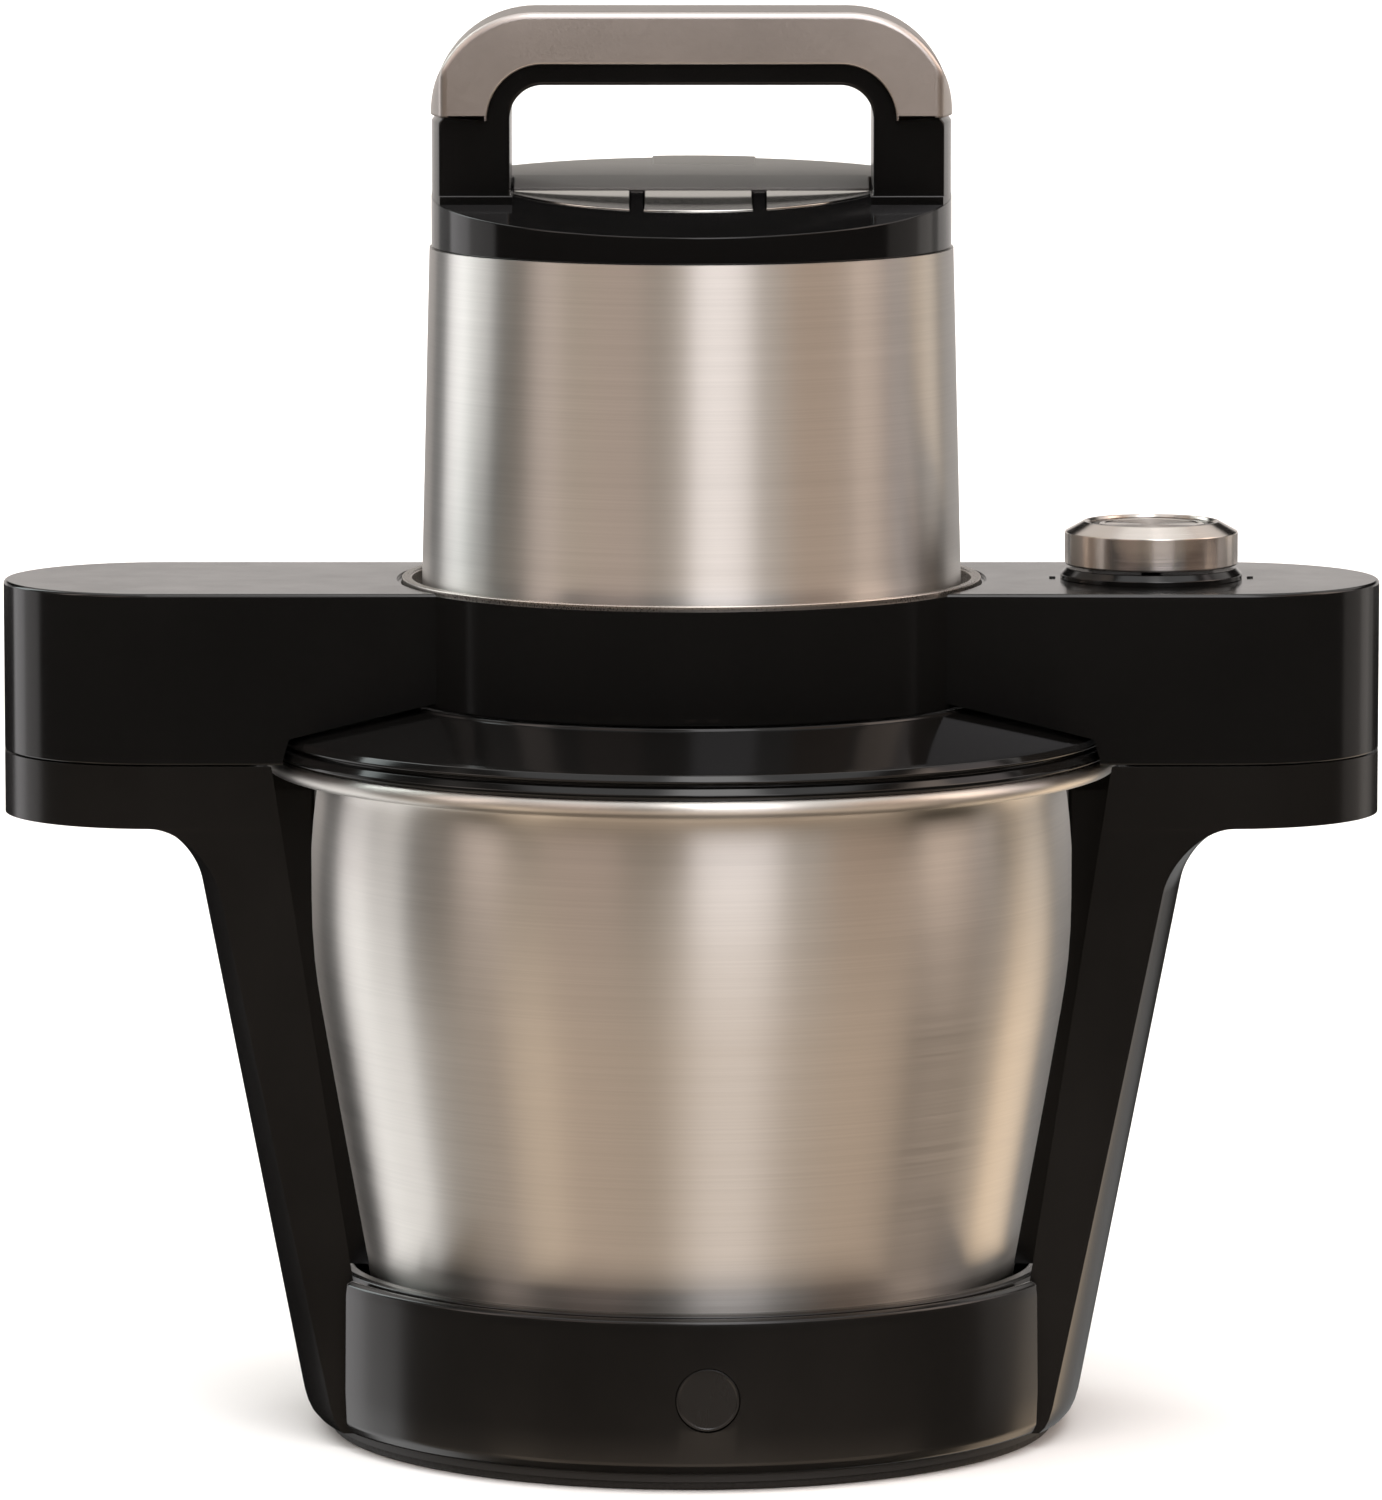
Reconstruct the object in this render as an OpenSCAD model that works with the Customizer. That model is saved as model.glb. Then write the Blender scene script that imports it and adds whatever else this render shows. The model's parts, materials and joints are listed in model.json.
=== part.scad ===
// Electric pounder: frame with two pillars, lift-out bowl, blade and lid, and a lift-off
// power unit with a motor head, carrying handle, three buttons and a speed knob.
// Origin: centre of the base underside. +Z up, the front faces -Y. Millimetres.

/* [Frame] */
// Overall width across the two wings
wing_span = 398; // [384:2:420]
// Radius of the rounded wing ends (half of the wing depth)
wing_r = 44.5; // [42:0.5:46]
// Height of the joint between the frame and the power unit
seam_z = 198; // [197.6:0.1:198.2]
// Outer radius of the base drum
drum_r = 111; // [110.5:0.1:111.5]
// Height of the base drum
drum_h = 49.8; // [47:0.1:51]
// Half width of the front apron of the drum
apron_x = 99; // [96:0.5:99.5]
// Wall thickness of the moulded parts
wall = 3; // [2.4:0.2:3.4]

/* [Bowl] */
// Height of the bowl underside above the table
bowl_z = 24; // [24:0.5:24]
// Sheet thickness of the bowl
bowl_t = 1.2; // [0.8:0.1:1.4]
// Outer radius of the rolled rim
rim_r = 124; // [123.4:0.1:124.2]

/* [Blade] */
// Tip radius of the lower blade
lower_tip = 84; // [70:1:86]
// Tip radius of the upper blade
upper_tip = 76; // [60:1:80]
// Blade thickness
blade_t = 2.2; // [1.6:0.1:2.6]

/* [Power unit] */
// Height of the wing tops
wing_top = 247.5; // [246.5:0.5:248]
// Radius of the hub below the collar
hub_r = 85.3; // [85.3:0.1:86]
// Radius of the motor sleeve at its foot
sleeve_foot_r = 78; // [77:0.1:78.4]
// Radius of the motor sleeve at its top
sleeve_top_r = 75.5; // [75.3:0.1:76]
// Slope of the button panel, in degrees
panel_slope = 5.74; // [4.5:0.02:6]

/* [Handle] */
// Height of the top of the handle
handle_top = 412; // [406:1:420]
// Half width of the finger opening
grip_x = 52; // [48:0.5:52]
// Half depth of the metal handle cover
cover_y = 22; // [21:0.5:24]

/* [Knob] */
// Sideways position of the speed knob
knob_x = 133; // [131:0.5:136]
// Radius of the speed knob
knob_r = 25; // [22:0.5:26]

/* [Buttons] */
// Gap round each button
button_gap = 0.35; // [0.25:0.05:0.5]

/* [Gears] */
// Gear module
gear_m = 1.5; // [1.5:0.1:1.5]
// Play between the flanks
gear_play = 0.16; // [0.1:0.02:0.2]

/* [Hidden] */
$fn = 96;
cx = wing_span / 2 - wing_r;        // centre of a wing end
ta = 0.74;                          // taper of the wing sides, degrees
panel_z = 358.9;                    // height of the button panel on the axis
deck_z = 359.2;                     // flat top of the cap behind the buttons
cap_z = 343.6;                      // joint between sleeve and cap
cap_r = 74.9;
ledge_z = 244;                      // the sleeve stands here
black = "#161413";
satin = "#211f1d";
metal = "#9a918a";
steel = "#b9b2a8";
dark = "#3a3836";
copper = "#a8643c";
rubber = "#0e0e0e";

// ---------------------------------------------------------------- helpers
module disc(r, z0, z1) translate([0, 0, z0]) cylinder(h = z1 - z0, r = r);
module cone(r0, r1, z0, z1) translate([0, 0, z0]) cylinder(h = z1 - z0, r1 = r0, r2 = r1);
module ring(ro, ri, z0, z1) difference() { disc(ro, z0, z1); disc(ri, z0 - 1, z1 + 1); }
module block(x0, x1, y0, y1, z0, z1) translate([x0, y0, z0]) cube([x1 - x0, y1 - y0, z1 - z0]);
module hexagon(r, z0, z1) translate([0, 0, z0]) cylinder(h = z1 - z0, r = r, $fn = 6);

// block with the wings' outline seen from above, moved inwards by t, from x = from to the right
module wing_block(z0, z1, t = 0, from = -400) {
  r = wing_r - t;
  h0 = (r + cx * sin(ta)) / cos(ta) - 0.08;
  tx = cx + 2;
  ty = h0 - tx * tan(ta);
  hf = h0 - max(from, 0) * tan(ta);
  translate([0, 0, z0]) linear_extrude(z1 - z0) polygon(from > 0
    ? [[from, hf], [tx, ty], [tx, -ty], [from, -hf]]
    : [[0, h0], [tx, ty], [tx, -ty], [0, -h0], [-tx, -ty], [-tx, ty]]);
  for (s = from > 0 ? [1] : [-1, 1]) translate([s * cx, 0, z0]) cylinder(h = z1 - z0, r = r);
}

// upright plate drawn in X and Z, d thick to each side of Y = 0
module upright(d) rotate([90, 0, 0]) translate([0, 0, -d]) linear_extrude(2 * d) children();

// rectangle with rounded upper corners
module arch(x, z0, z1, r) intersection() {
  union() {
    translate([-x, z0 - r]) square([2 * x, z1 - z0]);
    translate([r - x, z0 - r]) square([2 * (x - r), z1 - z0 + r]);
    for (s = [-1, 1]) translate([s * (x - r), z1 - r]) circle(r = r);
  }
  translate([-x, z0]) square([2 * x, z1 - z0]);
}

// ---------------------------------------------------------------- frame
module base_shell() color(satin) difference() {
  union() {
    base_drum();
    for (a = [45:90:315]) rotate([0, 0, a]) translate([82, 0, 0]) disc(5.5, 4.6, 18);
  }
  for (a = [45:90:315]) rotate([0, 0, a]) translate([82, 0, 0]) disc(2.05, 0, 14);
}
module base_drum() difference() {
  rotate_extrude() polygon([
    [106.8, 4.6], [109.6, 5.6], [drum_r - 0.1, 8.2], [drum_r + 0.3, 18], [drum_r, drum_h - 4],
    [drum_r - 0.6, drum_h - 1], [drum_r - 2, drum_h - 0.2], [drum_r - 3.4, drum_h - 0.4],
    [drum_r - 3.8, drum_h - 1.6], [105.2, drum_h - 1.6], [104.8, drum_h - 0.4],
    [104, drum_h], [101, drum_h], [99.3, drum_h - 1.2], [98.8, drum_h - 3.8], [98.8, 20],
    [10, 20], [10, 12], [20, 12], [20, 16.5], [95, 16.5], [95, 4.6]]);
  // the floor pocket that keeps the bowl from turning
  hexagon(14.2, 10, 21);
  // seats of the two pillars
  for (s = [-1, 1]) difference() {
    block(min(s * 80, s * 130), max(s * 80, s * 130), -47, 47, 0, 60);
    disc(105.6, -1, 61);
  }
  // the apron ends here
  for (s = [-1, 1]) difference() {
    block(min(s * apron_x, s * 130), max(s * apron_x, s * 130), -70, 70, 18, 60);
    disc(105.6, -1, 61);
  }
  // hollow between the two walls
  for (s = [-1, 1]) intersection() {
    ring(drum_r - wall, 101.8, 3, drum_h - 5);
    block(-92, 92, min(s * 50, s * 130), max(s * 50, s * 130), 0, 60);
  }
  // round seat of the badge
  rotate([0, 0, 2.38]) translate([0, 2.2 - drum_r, 26.8]) rotate([90, 0, 0]) cylinder(h = 8, r = 9.2);
}

module pillar_profile(t = 0) {
  // outer line, then the fillet under the wing, then the wing itself
  fr = 23;
  fx = 164.6;
  fz = 157;
  k = 0.1927;
  bot = t > 0 ? 14 : 4.6;
  top = t > 0 ? seam_z + 1 : seam_z;
  a0 = 180 - atan(k);
  polygon(concat(
    t > 0 ? [[113.6 + k * (bot - 11.6) - t, bot]] : [[109.8, 4.6], [111.9, 7.6], [113.2, 11.6]],
    [for (i = [0:8]) let (a = a0 + (90 - a0) * i / 8) [fx + (fr + t) * cos(a), fz + (fr + t) * sin(a)]],
    [[230, 180 + t], [230, top], [128.1 + t, top], [105.7 + (t > 0 ? t : 0), 38.6 + t],
     [105.7 + (t > 0 ? t : 0), bot]]));
}
module pillar() difference() {
  intersection() {
    rotate_extrude() pillar_profile();
    wing_block(0, 260, 0, 60);
  }
  difference() {
    intersection() {
      rotate_extrude() pillar_profile(wall);
      wing_block(0, 260, wall, 60);
    }
    // bosses under the wing plate
    for (y = [-30, 30]) translate([150, y, 0]) disc(5, 170, seam_z - wall);
    translate([172, 0, 0]) disc(8, 170, seam_z - wall);
  }
}
// two upright ribs that guide the bowl; they follow its wall and stay clear of it when it is lifted
module bowl_ribs() intersection() {
  rotate_extrude() polygon(concat(
    [[bowl_r(51) + 2, 51]],
    [for (z = [122:9:158]) [bowl_r(z) + 2, z]],
    [[112.6, 189], [128.3, 189], [108.9, 51]]));
  for (y = [-27, 23]) block(60, 200, y, y + 4, 40, 200);
}
module left_pillar() color(satin) mirror([1, 0, 0]) { pillar(); bowl_ribs(); }
module right_pillar() color(satin) { pillar(); bowl_ribs(); }

// plates that close the lower wings
module wing_plate() difference() {
  intersection() {
    wing_block(seam_z - wall, seam_z, wall + 0.1);
    block(120, 230, -60, 60, 100, 260);
  }
  disc(131.3, 100, 260);
  translate([172, 0, 0]) disc(2.6, 100, 260);
}
module wing_plates() color(satin) { wing_plate(); mirror([1, 0, 0]) wing_plate(); }

module locating_pegs() color(steel) for (s = [-1, 1]) translate([s * 172, 0, 0]) {
  disc(4.5, seam_z, seam_z + 8.5);
  cone(4.5, 3.2, seam_z + 8.5, seam_z + 10);
  disc(2.5, seam_z - wall, seam_z);
}

module base_cover() color(dark) difference() {
  disc(106.4, 2.6, 4.6);
  for (a = [45:90:315]) rotate([0, 0, a]) translate([82, 0, 0]) disc(2.2, 0, 6);
  for (a = [0:30:330]) rotate([0, 0, a]) block(36, 60, -1.5, 1.5, 0, 6);
}
module rubber_ring() color(rubber) difference() {
  disc(105.4, 0, 2.6);
  disc(97, -1, 1.4);
  disc(99, -1, 4);
}
module base_screws() color(steel) for (a = [45:90:315]) rotate([0, 0, a]) translate([82, 0, 0]) {
  disc(2, 2.4, 13);
  difference() { disc(4, 0.9, 2.6); hexagon(1.6, 0, 2); }
}
module seat_ring() color(rubber) ring(78, 58, 20, bowl_z);
module base_badge() color(satin) rotate([0, 0, 2.38]) translate([0, 0.4 - drum_r, 26.8])
  rotate([-90, 0, 0]) cylinder(h = 1.8, r = 9);

// ---------------------------------------------------------------- bowl
function bowl_r(z) = z < 122 ? 107.4 - (122 - z) * 0.174 : 110.6 - pow(z - 158, 2) / 404;
module bowl() color(steel) difference() {
  rotate_extrude() polygon(concat(
    [[0, bowl_z], [80, bowl_z], [86.5, bowl_z + 1.1], [90.2, bowl_z + 4], [bowl_r(32), 32]],
    [[bowl_r(122), 122]],
    [for (z = [131:9:185]) [bowl_r(z), z]],
    [[108.5, 190.6], [110.6, 193], [119, 193.4], [120.6, 192.9], [122.4, 193.1],
     [rim_r - 0.4, 194.2], [rim_r, 195.6], [rim_r - 0.5, 197], [122.4, 197.9], [120.8, 198],
     [119.4, 197.2], [118.6, 195.2], [111, 194.9], [108.6, 194], [108.5 - bowl_t, 191]],
    [for (z = [185:-9:131]) [bowl_r(z) - bowl_t, z]],
    [[bowl_r(122) - bowl_t, 122]],
    [[bowl_r(32) - bowl_t, 32.3], [89.2, bowl_z + 4.9], [85.9, bowl_z + bowl_t + 1],
     [80, bowl_z + bowl_t], [0, bowl_z + bowl_t]]));
  disc(5.2, 20, 30);
}
module spindle() color(steel) {
  disc(5, 15, 60.5);
  cone(5, 3.6, 60.5, 62);
  disc(14, bowl_z + 2.2, 29);
}
module spindle_seal() color(rubber) ring(14, 5.1, bowl_z + bowl_t, bowl_z + 2.2);
module spindle_nut() color(steel) difference() { hexagon(13.6, 16.6, bowl_z); disc(5.05, 10, 30); }

// ---------------------------------------------------------------- blade
module blade_bush() color(dark) difference() {
  union() { disc(7, 29.2, 60); disc(12, 29.2, 31.2); }
  disc(5.05, 20, 70);
}
module blade_shaft() color(steel) difference() {
  union() {
    disc(14, 31.4, 34.2);
    disc(9, 34, 201.4);
    disc(8.5, 201.4, 213.5);
    hexagon(8, 213.5, 224);
    hexagon(7.4, 224, 225);
  }
  disc(7.05, 20, 64);
}
// both curved arms as one closed outline: a straight root, then an edge that sweeps back to the tip
function sweep(t) = 30 * t * t;
function arm_edge(tip, side, n = 9) = [for (i = [1:n]) let (
  t = i / n,
  r = 10 + (tip - 10) * t,
  w = 12.5 * (1 - 0.72 * t * t),
  a = sweep(t) + side * asin(min(1, w / r)))
  [r * cos(a), r * sin(a)]];
module blade_plan(tip) {
  lo = arm_edge(tip, -1);
  hi = arm_edge(tip, 1);
  arm = concat(lo, [for (i = [8:-1:0]) hi[i]]);
  polygon(concat(arm, [for (p = arm) -p]));
}
module blade_at(tip, z, turn) difference() {
  rotate([0, 0, turn]) translate([0, 0, z]) linear_extrude(blade_t) blade_plan(tip);
  disc(9.05, 20, 100);
}
module lower_blade() color(steel) blade_at(lower_tip, 34.2, 20);
module upper_blade() color(steel) blade_at(upper_tip, 70, 110);
module blade_spacers() color(dark) {
  ring(13, 9.05, 34.2 + blade_t, 70);
  difference() { cone(13, 11, 70 + blade_t, 80); disc(9.05, 60, 90); }
}

// ---------------------------------------------------------------- lid
module lid_cover() color(black) rotate_extrude() polygon([
  [12.2, 209.4], [80, 210], [86, 211], [103, 206.7], [103, 186], [105.6, 186], [105.6, 188],
  [104.8, 188], [104.8, 192], [105.6, 192], [105.6, 198.1], [122, 198.1], [122.5, 199],
  [122.5, 201], [122, 201.5], [119.8, 201.7], [119.8, 202.4], [121.2, 202.7], [121.5, 203.5],
  [121, 204.7], [119.4, 205.3], [86, 213.8], [80, 212.9], [12.2, 212.5]]);
module lid_seals() color(rubber) {
  rotate_extrude() polygon([
    [104.85, 188.1], [106.4, 188.6], [106.9, 190], [106.4, 191.4], [104.85, 191.9]]);
  ring(12, 8.57, 202.2, 205);
}
module lid_bush() color(dark) difference() {
  union() { disc(12.1, 205, 212.5); disc(17, 206.2, 209.4); }
  disc(8.55, 200, 220);
}

// ---------------------------------------------------------------- power unit
module lid_room(t = 0) rotate_extrude() polygon([
  [0, 150], [124.8 + t, 150], [124.8 + t, 200 + t * 0.3], [123.2 + t, 205.8 + t],
  [86, 216 + t], [0, 216 + t]]);
module bridge_shell() color(black) difference() {
  union() {
    wing_block(seam_z + 0.4, wing_top);
    disc(hub_r, 216, wing_top - 0.9);
  }
  difference() {
    union() {
      wing_block(seam_z - 5, wing_top - wall, wall);
      disc(hub_r - wall, 217, 241);
    }
    lid_room(wall);
    disc(86.8, 241, 260);
    // seat of the knob shaft and its control
    translate([knob_x, 0, 0]) ring(13, 10, 240, 250);
  }
  lid_room();
  // trim ring seat, groove round it and the way down for the motor
  disc(hub_r, wing_top - 0.9, 260);
  disc(83.9, ledge_z, 260);
  disc(72, 230, 260);
  disc(24, 210, 230);
  // air slots at the rear
  for (a = [54:9:126]) rotate([0, 0, a]) block(78, 90, -1.6, 1.6, 223, 239);
  // knob shaft and mains inlet
  translate([knob_x, 0, 0]) disc(4.6, 230, 260);
  block(110.9, 139.1, 30, 60, 213.9, 234.1);
}
module bottom_plate() difference() {
  intersection() {
    wing_block(seam_z + 0.4, seam_z + 0.4 + wall, wall + 0.1);
    block(120, 230, -60, 60, 100, 260);
  }
  disc(130.6, 100, 260);
  translate([172, 0, 0]) disc(5, 100, 260);
  for (x = [146:6:164]) block(x, x + 2.5, -24, 24, 190, 210);
}
module bottom_plates() color(satin) { bottom_plate(); mirror([1, 0, 0]) bottom_plate(); }

module collar_ring() color(metal) rotate_extrude() polygon([
  [80.8, ledge_z], [83.7, ledge_z], [83.7, 247.6], [83.1, 248.3], [81.4, 248.3], [80.8, 247.6]]);
module motor_sleeve() color(steel) difference() {
  cone(sleeve_foot_r, sleeve_top_r, ledge_z, cap_z);
  cone(sleeve_foot_r - 1.3, sleeve_top_r - 1.3, ledge_z - 0.01, cap_z + 0.01);
}

module on_panel() translate([0, 0, panel_z]) rotate([panel_slope, 0, 0]) children();
module cap_room(r, z0, drop = 0) difference() {
  disc(r, z0, 372);
  on_panel() translate([-200, -200, -drop]) cube([400, 400, 60]);
  block(-200, 200, -200, 200, deck_z - drop, 420);
}
module head_cap() color(black) difference() {
  union() {
    cap_room(cap_r, cap_z);
    ring(73.9, 71.4, 338, cap_z + 1);
  }
  cap_room(71.9, cap_z + 2, 3);
  disc(71.4, 330, cap_z + 3);
  // windows for the buttons and pockets for the handle legs
  on_panel() translate([0, 0, -20]) linear_extrude(30) for (b = BUTTONS) button_plan(b, button_gap);
  for (s = [-1, 1]) block(min(s * 53.9, s * 68.1), max(s * 53.9, s * 68.1), -12.1, 12.1, 340, 370);
}

// the buttons share one lens: a straight rear edge and a curved front edge
BUTTONS = [[-51.5, -17.7], [-13.6, 17.5], [21.4, 51.5]];
module button_plan(b, g = 0) intersection() {
  translate([0, 28]) circle(r = 60 + g);
  translate([b[0] - g, -40]) square([b[1] - b[0] + 2 * g, 42.4 + g]);
}
module button(b) on_panel() difference() {
  translate([0, 0, -4.4]) linear_extrude(5) button_plan(b);
  translate([0, 0, 0.3]) linear_extrude(2) intersection() {
    translate([0, 28]) circle(r = 58.4);
    translate([b[0] + 1.6, -40]) square([b[1] - b[0] - 3.2, 40.8]);
  }
}
module button_left() color(metal) button(BUTTONS[0]);
module button_middle() color(metal) button(BUTTONS[1]);
module button_right() color(metal) button(BUTTONS[2]);

module rear_cover() color(satin) difference() {
  union() {
    difference() {
      disc(72.7, deck_z, 372);
      translate([0, 72, 364.6]) rotate([2.29, 0, 0]) translate([-200, -300, 0]) cube([400, 500, 60]);
      translate([0, 22, 362.6]) rotate([8.04, 0, 0]) translate([-200, -300, 0]) cube([400, 310, 60]);
    }
    intersection() { disc(72.2, deck_z, 365.2); block(-11.5, 18.9, 50, 90, 350, 372); }
  }
  block(-200, 200, -200, 4.4, 340, 380);
  for (s = [-1, 1]) block(min(s * (grip_x - 0.6), s * 90), max(s * (grip_x - 0.6), s * 90), -30, 20.7, 340, 380);
}

module handle_legs(y) for (s = [-1, 1]) intersection() {
  block(min(s * grip_x, s * 80), max(s * grip_x, s * 80), -y, y, 340, 381.9);
  disc(74.7, 300, 420);
}
module handle_core() color(black) {
  difference() {
    union() {
      handle_legs(19.5);
      // feet, a little proud of the legs
      intersection() {
        difference() {
          block(-80, 80, -20.2, 20.2, 345, 359.1);
          block(-grip_x, grip_x, -30, 30, 340, 370);
        }
        disc(74.8, 300, 420);
      }
    }
    cap_room(90, 300);
  }
  // plugs that sit in the cap
  for (s = [-1, 1]) difference() {
    block(min(s * 54, s * 68), max(s * 54, s * 68), -12, 12, 346, 358);
    translate([s * 61, 0, 0]) disc(2, 340, 356);
  }
  difference() {
    upright(19.5) difference() {
      arch(72.8, 381.9, handle_top - 2.2, 27.8);
      arch(grip_x, 380, 391, 9.5);
    }
    difference() { disc(120, 300, 420); disc(72.9, 290, 430); }
  }
}
module handle_cover() color(metal) difference() {
  intersection() {
    upright(cover_y) difference() {
      arch(75, 370, handle_top, 30);
      arch(58.5, 360, 397, 16);
    }
    disc(75, 382, 420);
  }
  intersection() {
    upright(19.6) arch(72.9, 380, handle_top - 2.1, 27.9);
    disc(73, 300, 420);
  }
}

// ---------------------------------------------------------------- motor and gearbox
module stator_core() color(dark) difference() {
  intersection() { block(-38, 38, -38, 38, 273, 313); disc(47, 270, 320); }
  disc(22.5, 260, 330);
  for (s = [-1, 1]) block(min(s * 24, s * 32), max(s * 24, s * 32), -13.2, 13.2, 260, 330);
}
module field_coils() color(copper) {
  ring(34, 24.2, 263.7, 272.8);
  ring(34, 24.2, 313.2, 322);
  for (s = [-1, 1]) block(min(s * 24.4, s * 31.6), max(s * 24.4, s * 31.6), -13, 13, 266, 320);
}
module motor_frame() color(steel) difference() {
  disc(50, 250, 273);
  disc(46.5, 249, 270);
  disc(40, 249, 280);
  for (a = [0:45:315]) rotate([0, 0, a]) block(40, 60, -9, 9, 253, 265);
}
module upper_bracket() color(steel) difference() {
  union() {
    block(-38, 38, -12, 12, 336, 339);
    block(-8, 8, -38, 38, 336, 339);
    for (s = [-1, 1]) block(min(s * 34.6, s * 37.8), max(s * 34.6, s * 37.8), -10, 10, 313, 337);
  }
  disc(8.05, 330, 345);
}
module brush_gear() color(dark) for (s = [-1, 1]) {
  block(-5, 5, min(s * 15, s * 36), max(s * 15, s * 36), 324.5, 336);
  block(-3, 3, min(s * 13.3, s * 15), max(s * 13.3, s * 15), 326, 332);
}
module gearbox_housing() color(dark) difference() {
  union() { disc(44, 219, 247); disc(50, 243, 247); }
  disc(40.3, 222, 250);
  disc(16.1, 210, 230);
}
module gearbox_cover() color(dark) difference() {
  disc(50, 247, 250);
  disc(11.05, 240, 260);
}
module bearings() color(steel) {
  ring(16, 10.3, 219.4, 226);
  ring(11, 4.05, 246.6, 252);
  ring(8, 4.05, 335.6, 339.4);
}

// involute gears, module gear_m, pressure angle 20 degrees
function inv_deg(a) = tan(a) * 180 / PI - a;
function flank(rp, r, half) = let (rb = rp * cos(20), a = r <= rb ? 0 : acos(rb / r)) half + inv_deg(20) - inv_deg(a);
function gear_points(z, r_root, r_tip, play) = let (
  rp = gear_m * z / 2,
  half = 90 / z - play / (4 * rp) * 180 / PI,
  lo = max(r_root, rp * cos(20)),
  rs = [lo, lo + (r_tip - lo) * 0.3, lo + (r_tip - lo) * 0.65, r_tip],
  pitch = 360 / z)
  [for (i = [0:z - 1]) each concat(
    r_root < lo - 0.02 ? [let (a = i * pitch - flank(rp, lo, half)) [r_root * cos(a), r_root * sin(a)]] : [],
    [for (r = rs) let (a = i * pitch - flank(rp, r, half)) [r * cos(a), r * sin(a)]],
    [for (k = [3:-1:0]) let (r = rs[k], a = i * pitch + flank(rp, r, half)) [r * cos(a), r * sin(a)]],
    r_root < lo - 0.02 ? [let (a = i * pitch + flank(rp, lo, half)) [r_root * cos(a), r_root * sin(a)]] : [])];
sun_p = gear_m * 15 / 2;
ring_p = gear_m * 45 / 2;
add = 0.8 * gear_m;
ded = 1.0 * gear_m;
module spur(h) linear_extrude(h) polygon(gear_points(15, sun_p - ded, sun_p + add, gear_play));
module sun_gear() color(steel) translate([0, 0, 232]) spur(12);
module ring_gear() color(dark) translate([0, 0, 231.6]) difference() {
  linear_extrude(12.8) polygon([for (i = [0:89]) 40.1 * [cos(4 * i), sin(4 * i)]]);
  translate([0, 0, -1]) linear_extrude(15) polygon(gear_points(45, ring_p - add, ring_p + ded, -gear_play));
}
module planet(turn) rotate([0, 0, turn]) translate([2 * sun_p, 0, 232]) difference() {
  spur(12);
  translate([0, 0, -1]) cylinder(h = 14, r = 3.18, $fn = 12);
}
module planet_a() color(steel) planet(0);
module planet_b() color(steel) planet(120);
module planet_c() color(steel) planet(240);
module planet_carrier() color(steel) {
  disc(32, 227, 231);
  for (a = [0, 120, 240]) rotate([0, 0, a]) translate([2 * sun_p, 0, 0]) disc(3, 230, 245);
}
module drive_coupling() color(dark) difference() {
  disc(10.25, 214.6, 227);
  hexagon(8.2, 210, 226);
}
module rotor_shaft() color(steel) disc(4, 244, 338.6);
module rotor_core() color(dark) difference() {
  disc(21.4, 273.5, 312.5);
  disc(4.02, 270, 320);
  for (a = [15:30:345]) rotate([0, 0, a]) block(15.5, 30, -1, 1, 270, 320);
}
module commutator() color(copper) ring(13, 4.02, 324, 334);
module cooling_fan() color(dark) difference() {
  union() {
    disc(36, 252.6, 254.2);
    disc(9, 252.6, 262);
    for (a = [0:40:320]) rotate([0, 0, a]) block(8, 35, -1, 1, 254, 262);
  }
  disc(4.02, 240, 280);
}

// ---------------------------------------------------------------- controls
module button_board() color("#2f5a3a") {
  on_panel() {
    translate([-50, -34, -10.6]) cube([100, 32, 1.6]);
    for (x = [-34, 2, 36]) translate([x - 3.5, -14, -9]) cube([7, 7, 2.4]);
  }
}
module speed_control() color(dark) difference() {
  union() {
    translate([knob_x, 0, 0]) disc(9.4, 228, 240);
    translate([knob_x, 0, 0]) disc(4.4, 239, wing_top - 0.6);
    block(knob_x - 14, knob_x + 14, -12, 12, 226, 228);
  }
  translate([knob_x, 0, 0]) disc(3.05, 232, 260);
}
module knob_base_ring() color(satin) translate([knob_x, 0, 0]) difference() {
  union() { disc(27.4, wing_top, wing_top + 1.6); cone(27.4, 24, wing_top + 1.6, wing_top + 3.2); }
  disc(4.6, 240, 260);
}
module panel_marks() color(dark) for (s = [-1, 1])
  translate([knob_x + s * 28.6, 0, 0]) disc(0.9, wing_top, wing_top + 0.35);
module knob_ring() color(metal) translate([knob_x, 0, 0]) rotate_extrude() polygon([
  [18.1, 252], [knob_r, 251.6], [knob_r, 261.4], [knob_r - 0.8, 262.6], [22.4, 264], [19, 264.1], [18.1, 263.4]]);
module knob_insert() color(black) translate([knob_x, 0, 0]) {
  disc(18.05, 252.6, 261);
  ring(18.05, 15.4, 261, 263.2);
  disc(3, 234, 253);
}
module knob_disc() color(metal) translate([knob_x, 0, 0]) {
  disc(15.3, 261, 262.8);
  cone(15.3, 14.7, 262.8, 263.4);
}
module mains_inlet() color(dark) difference() {
  union() {
    block(111.1, 138.9, 26, 46, 214.1, 233.9);
    block(109, 141, 45.3, 47.3, 212, 236);
  }
  difference() {
    block(113, 137, 31, 60, 216, 232);
    for (p = [[118, 222.6], [132, 222.6], [125, 226.8]]) block(p[0] - 1, p[0] + 1, 20, 45, p[1] - 2, p[1] + 2);
  }
}

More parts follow.
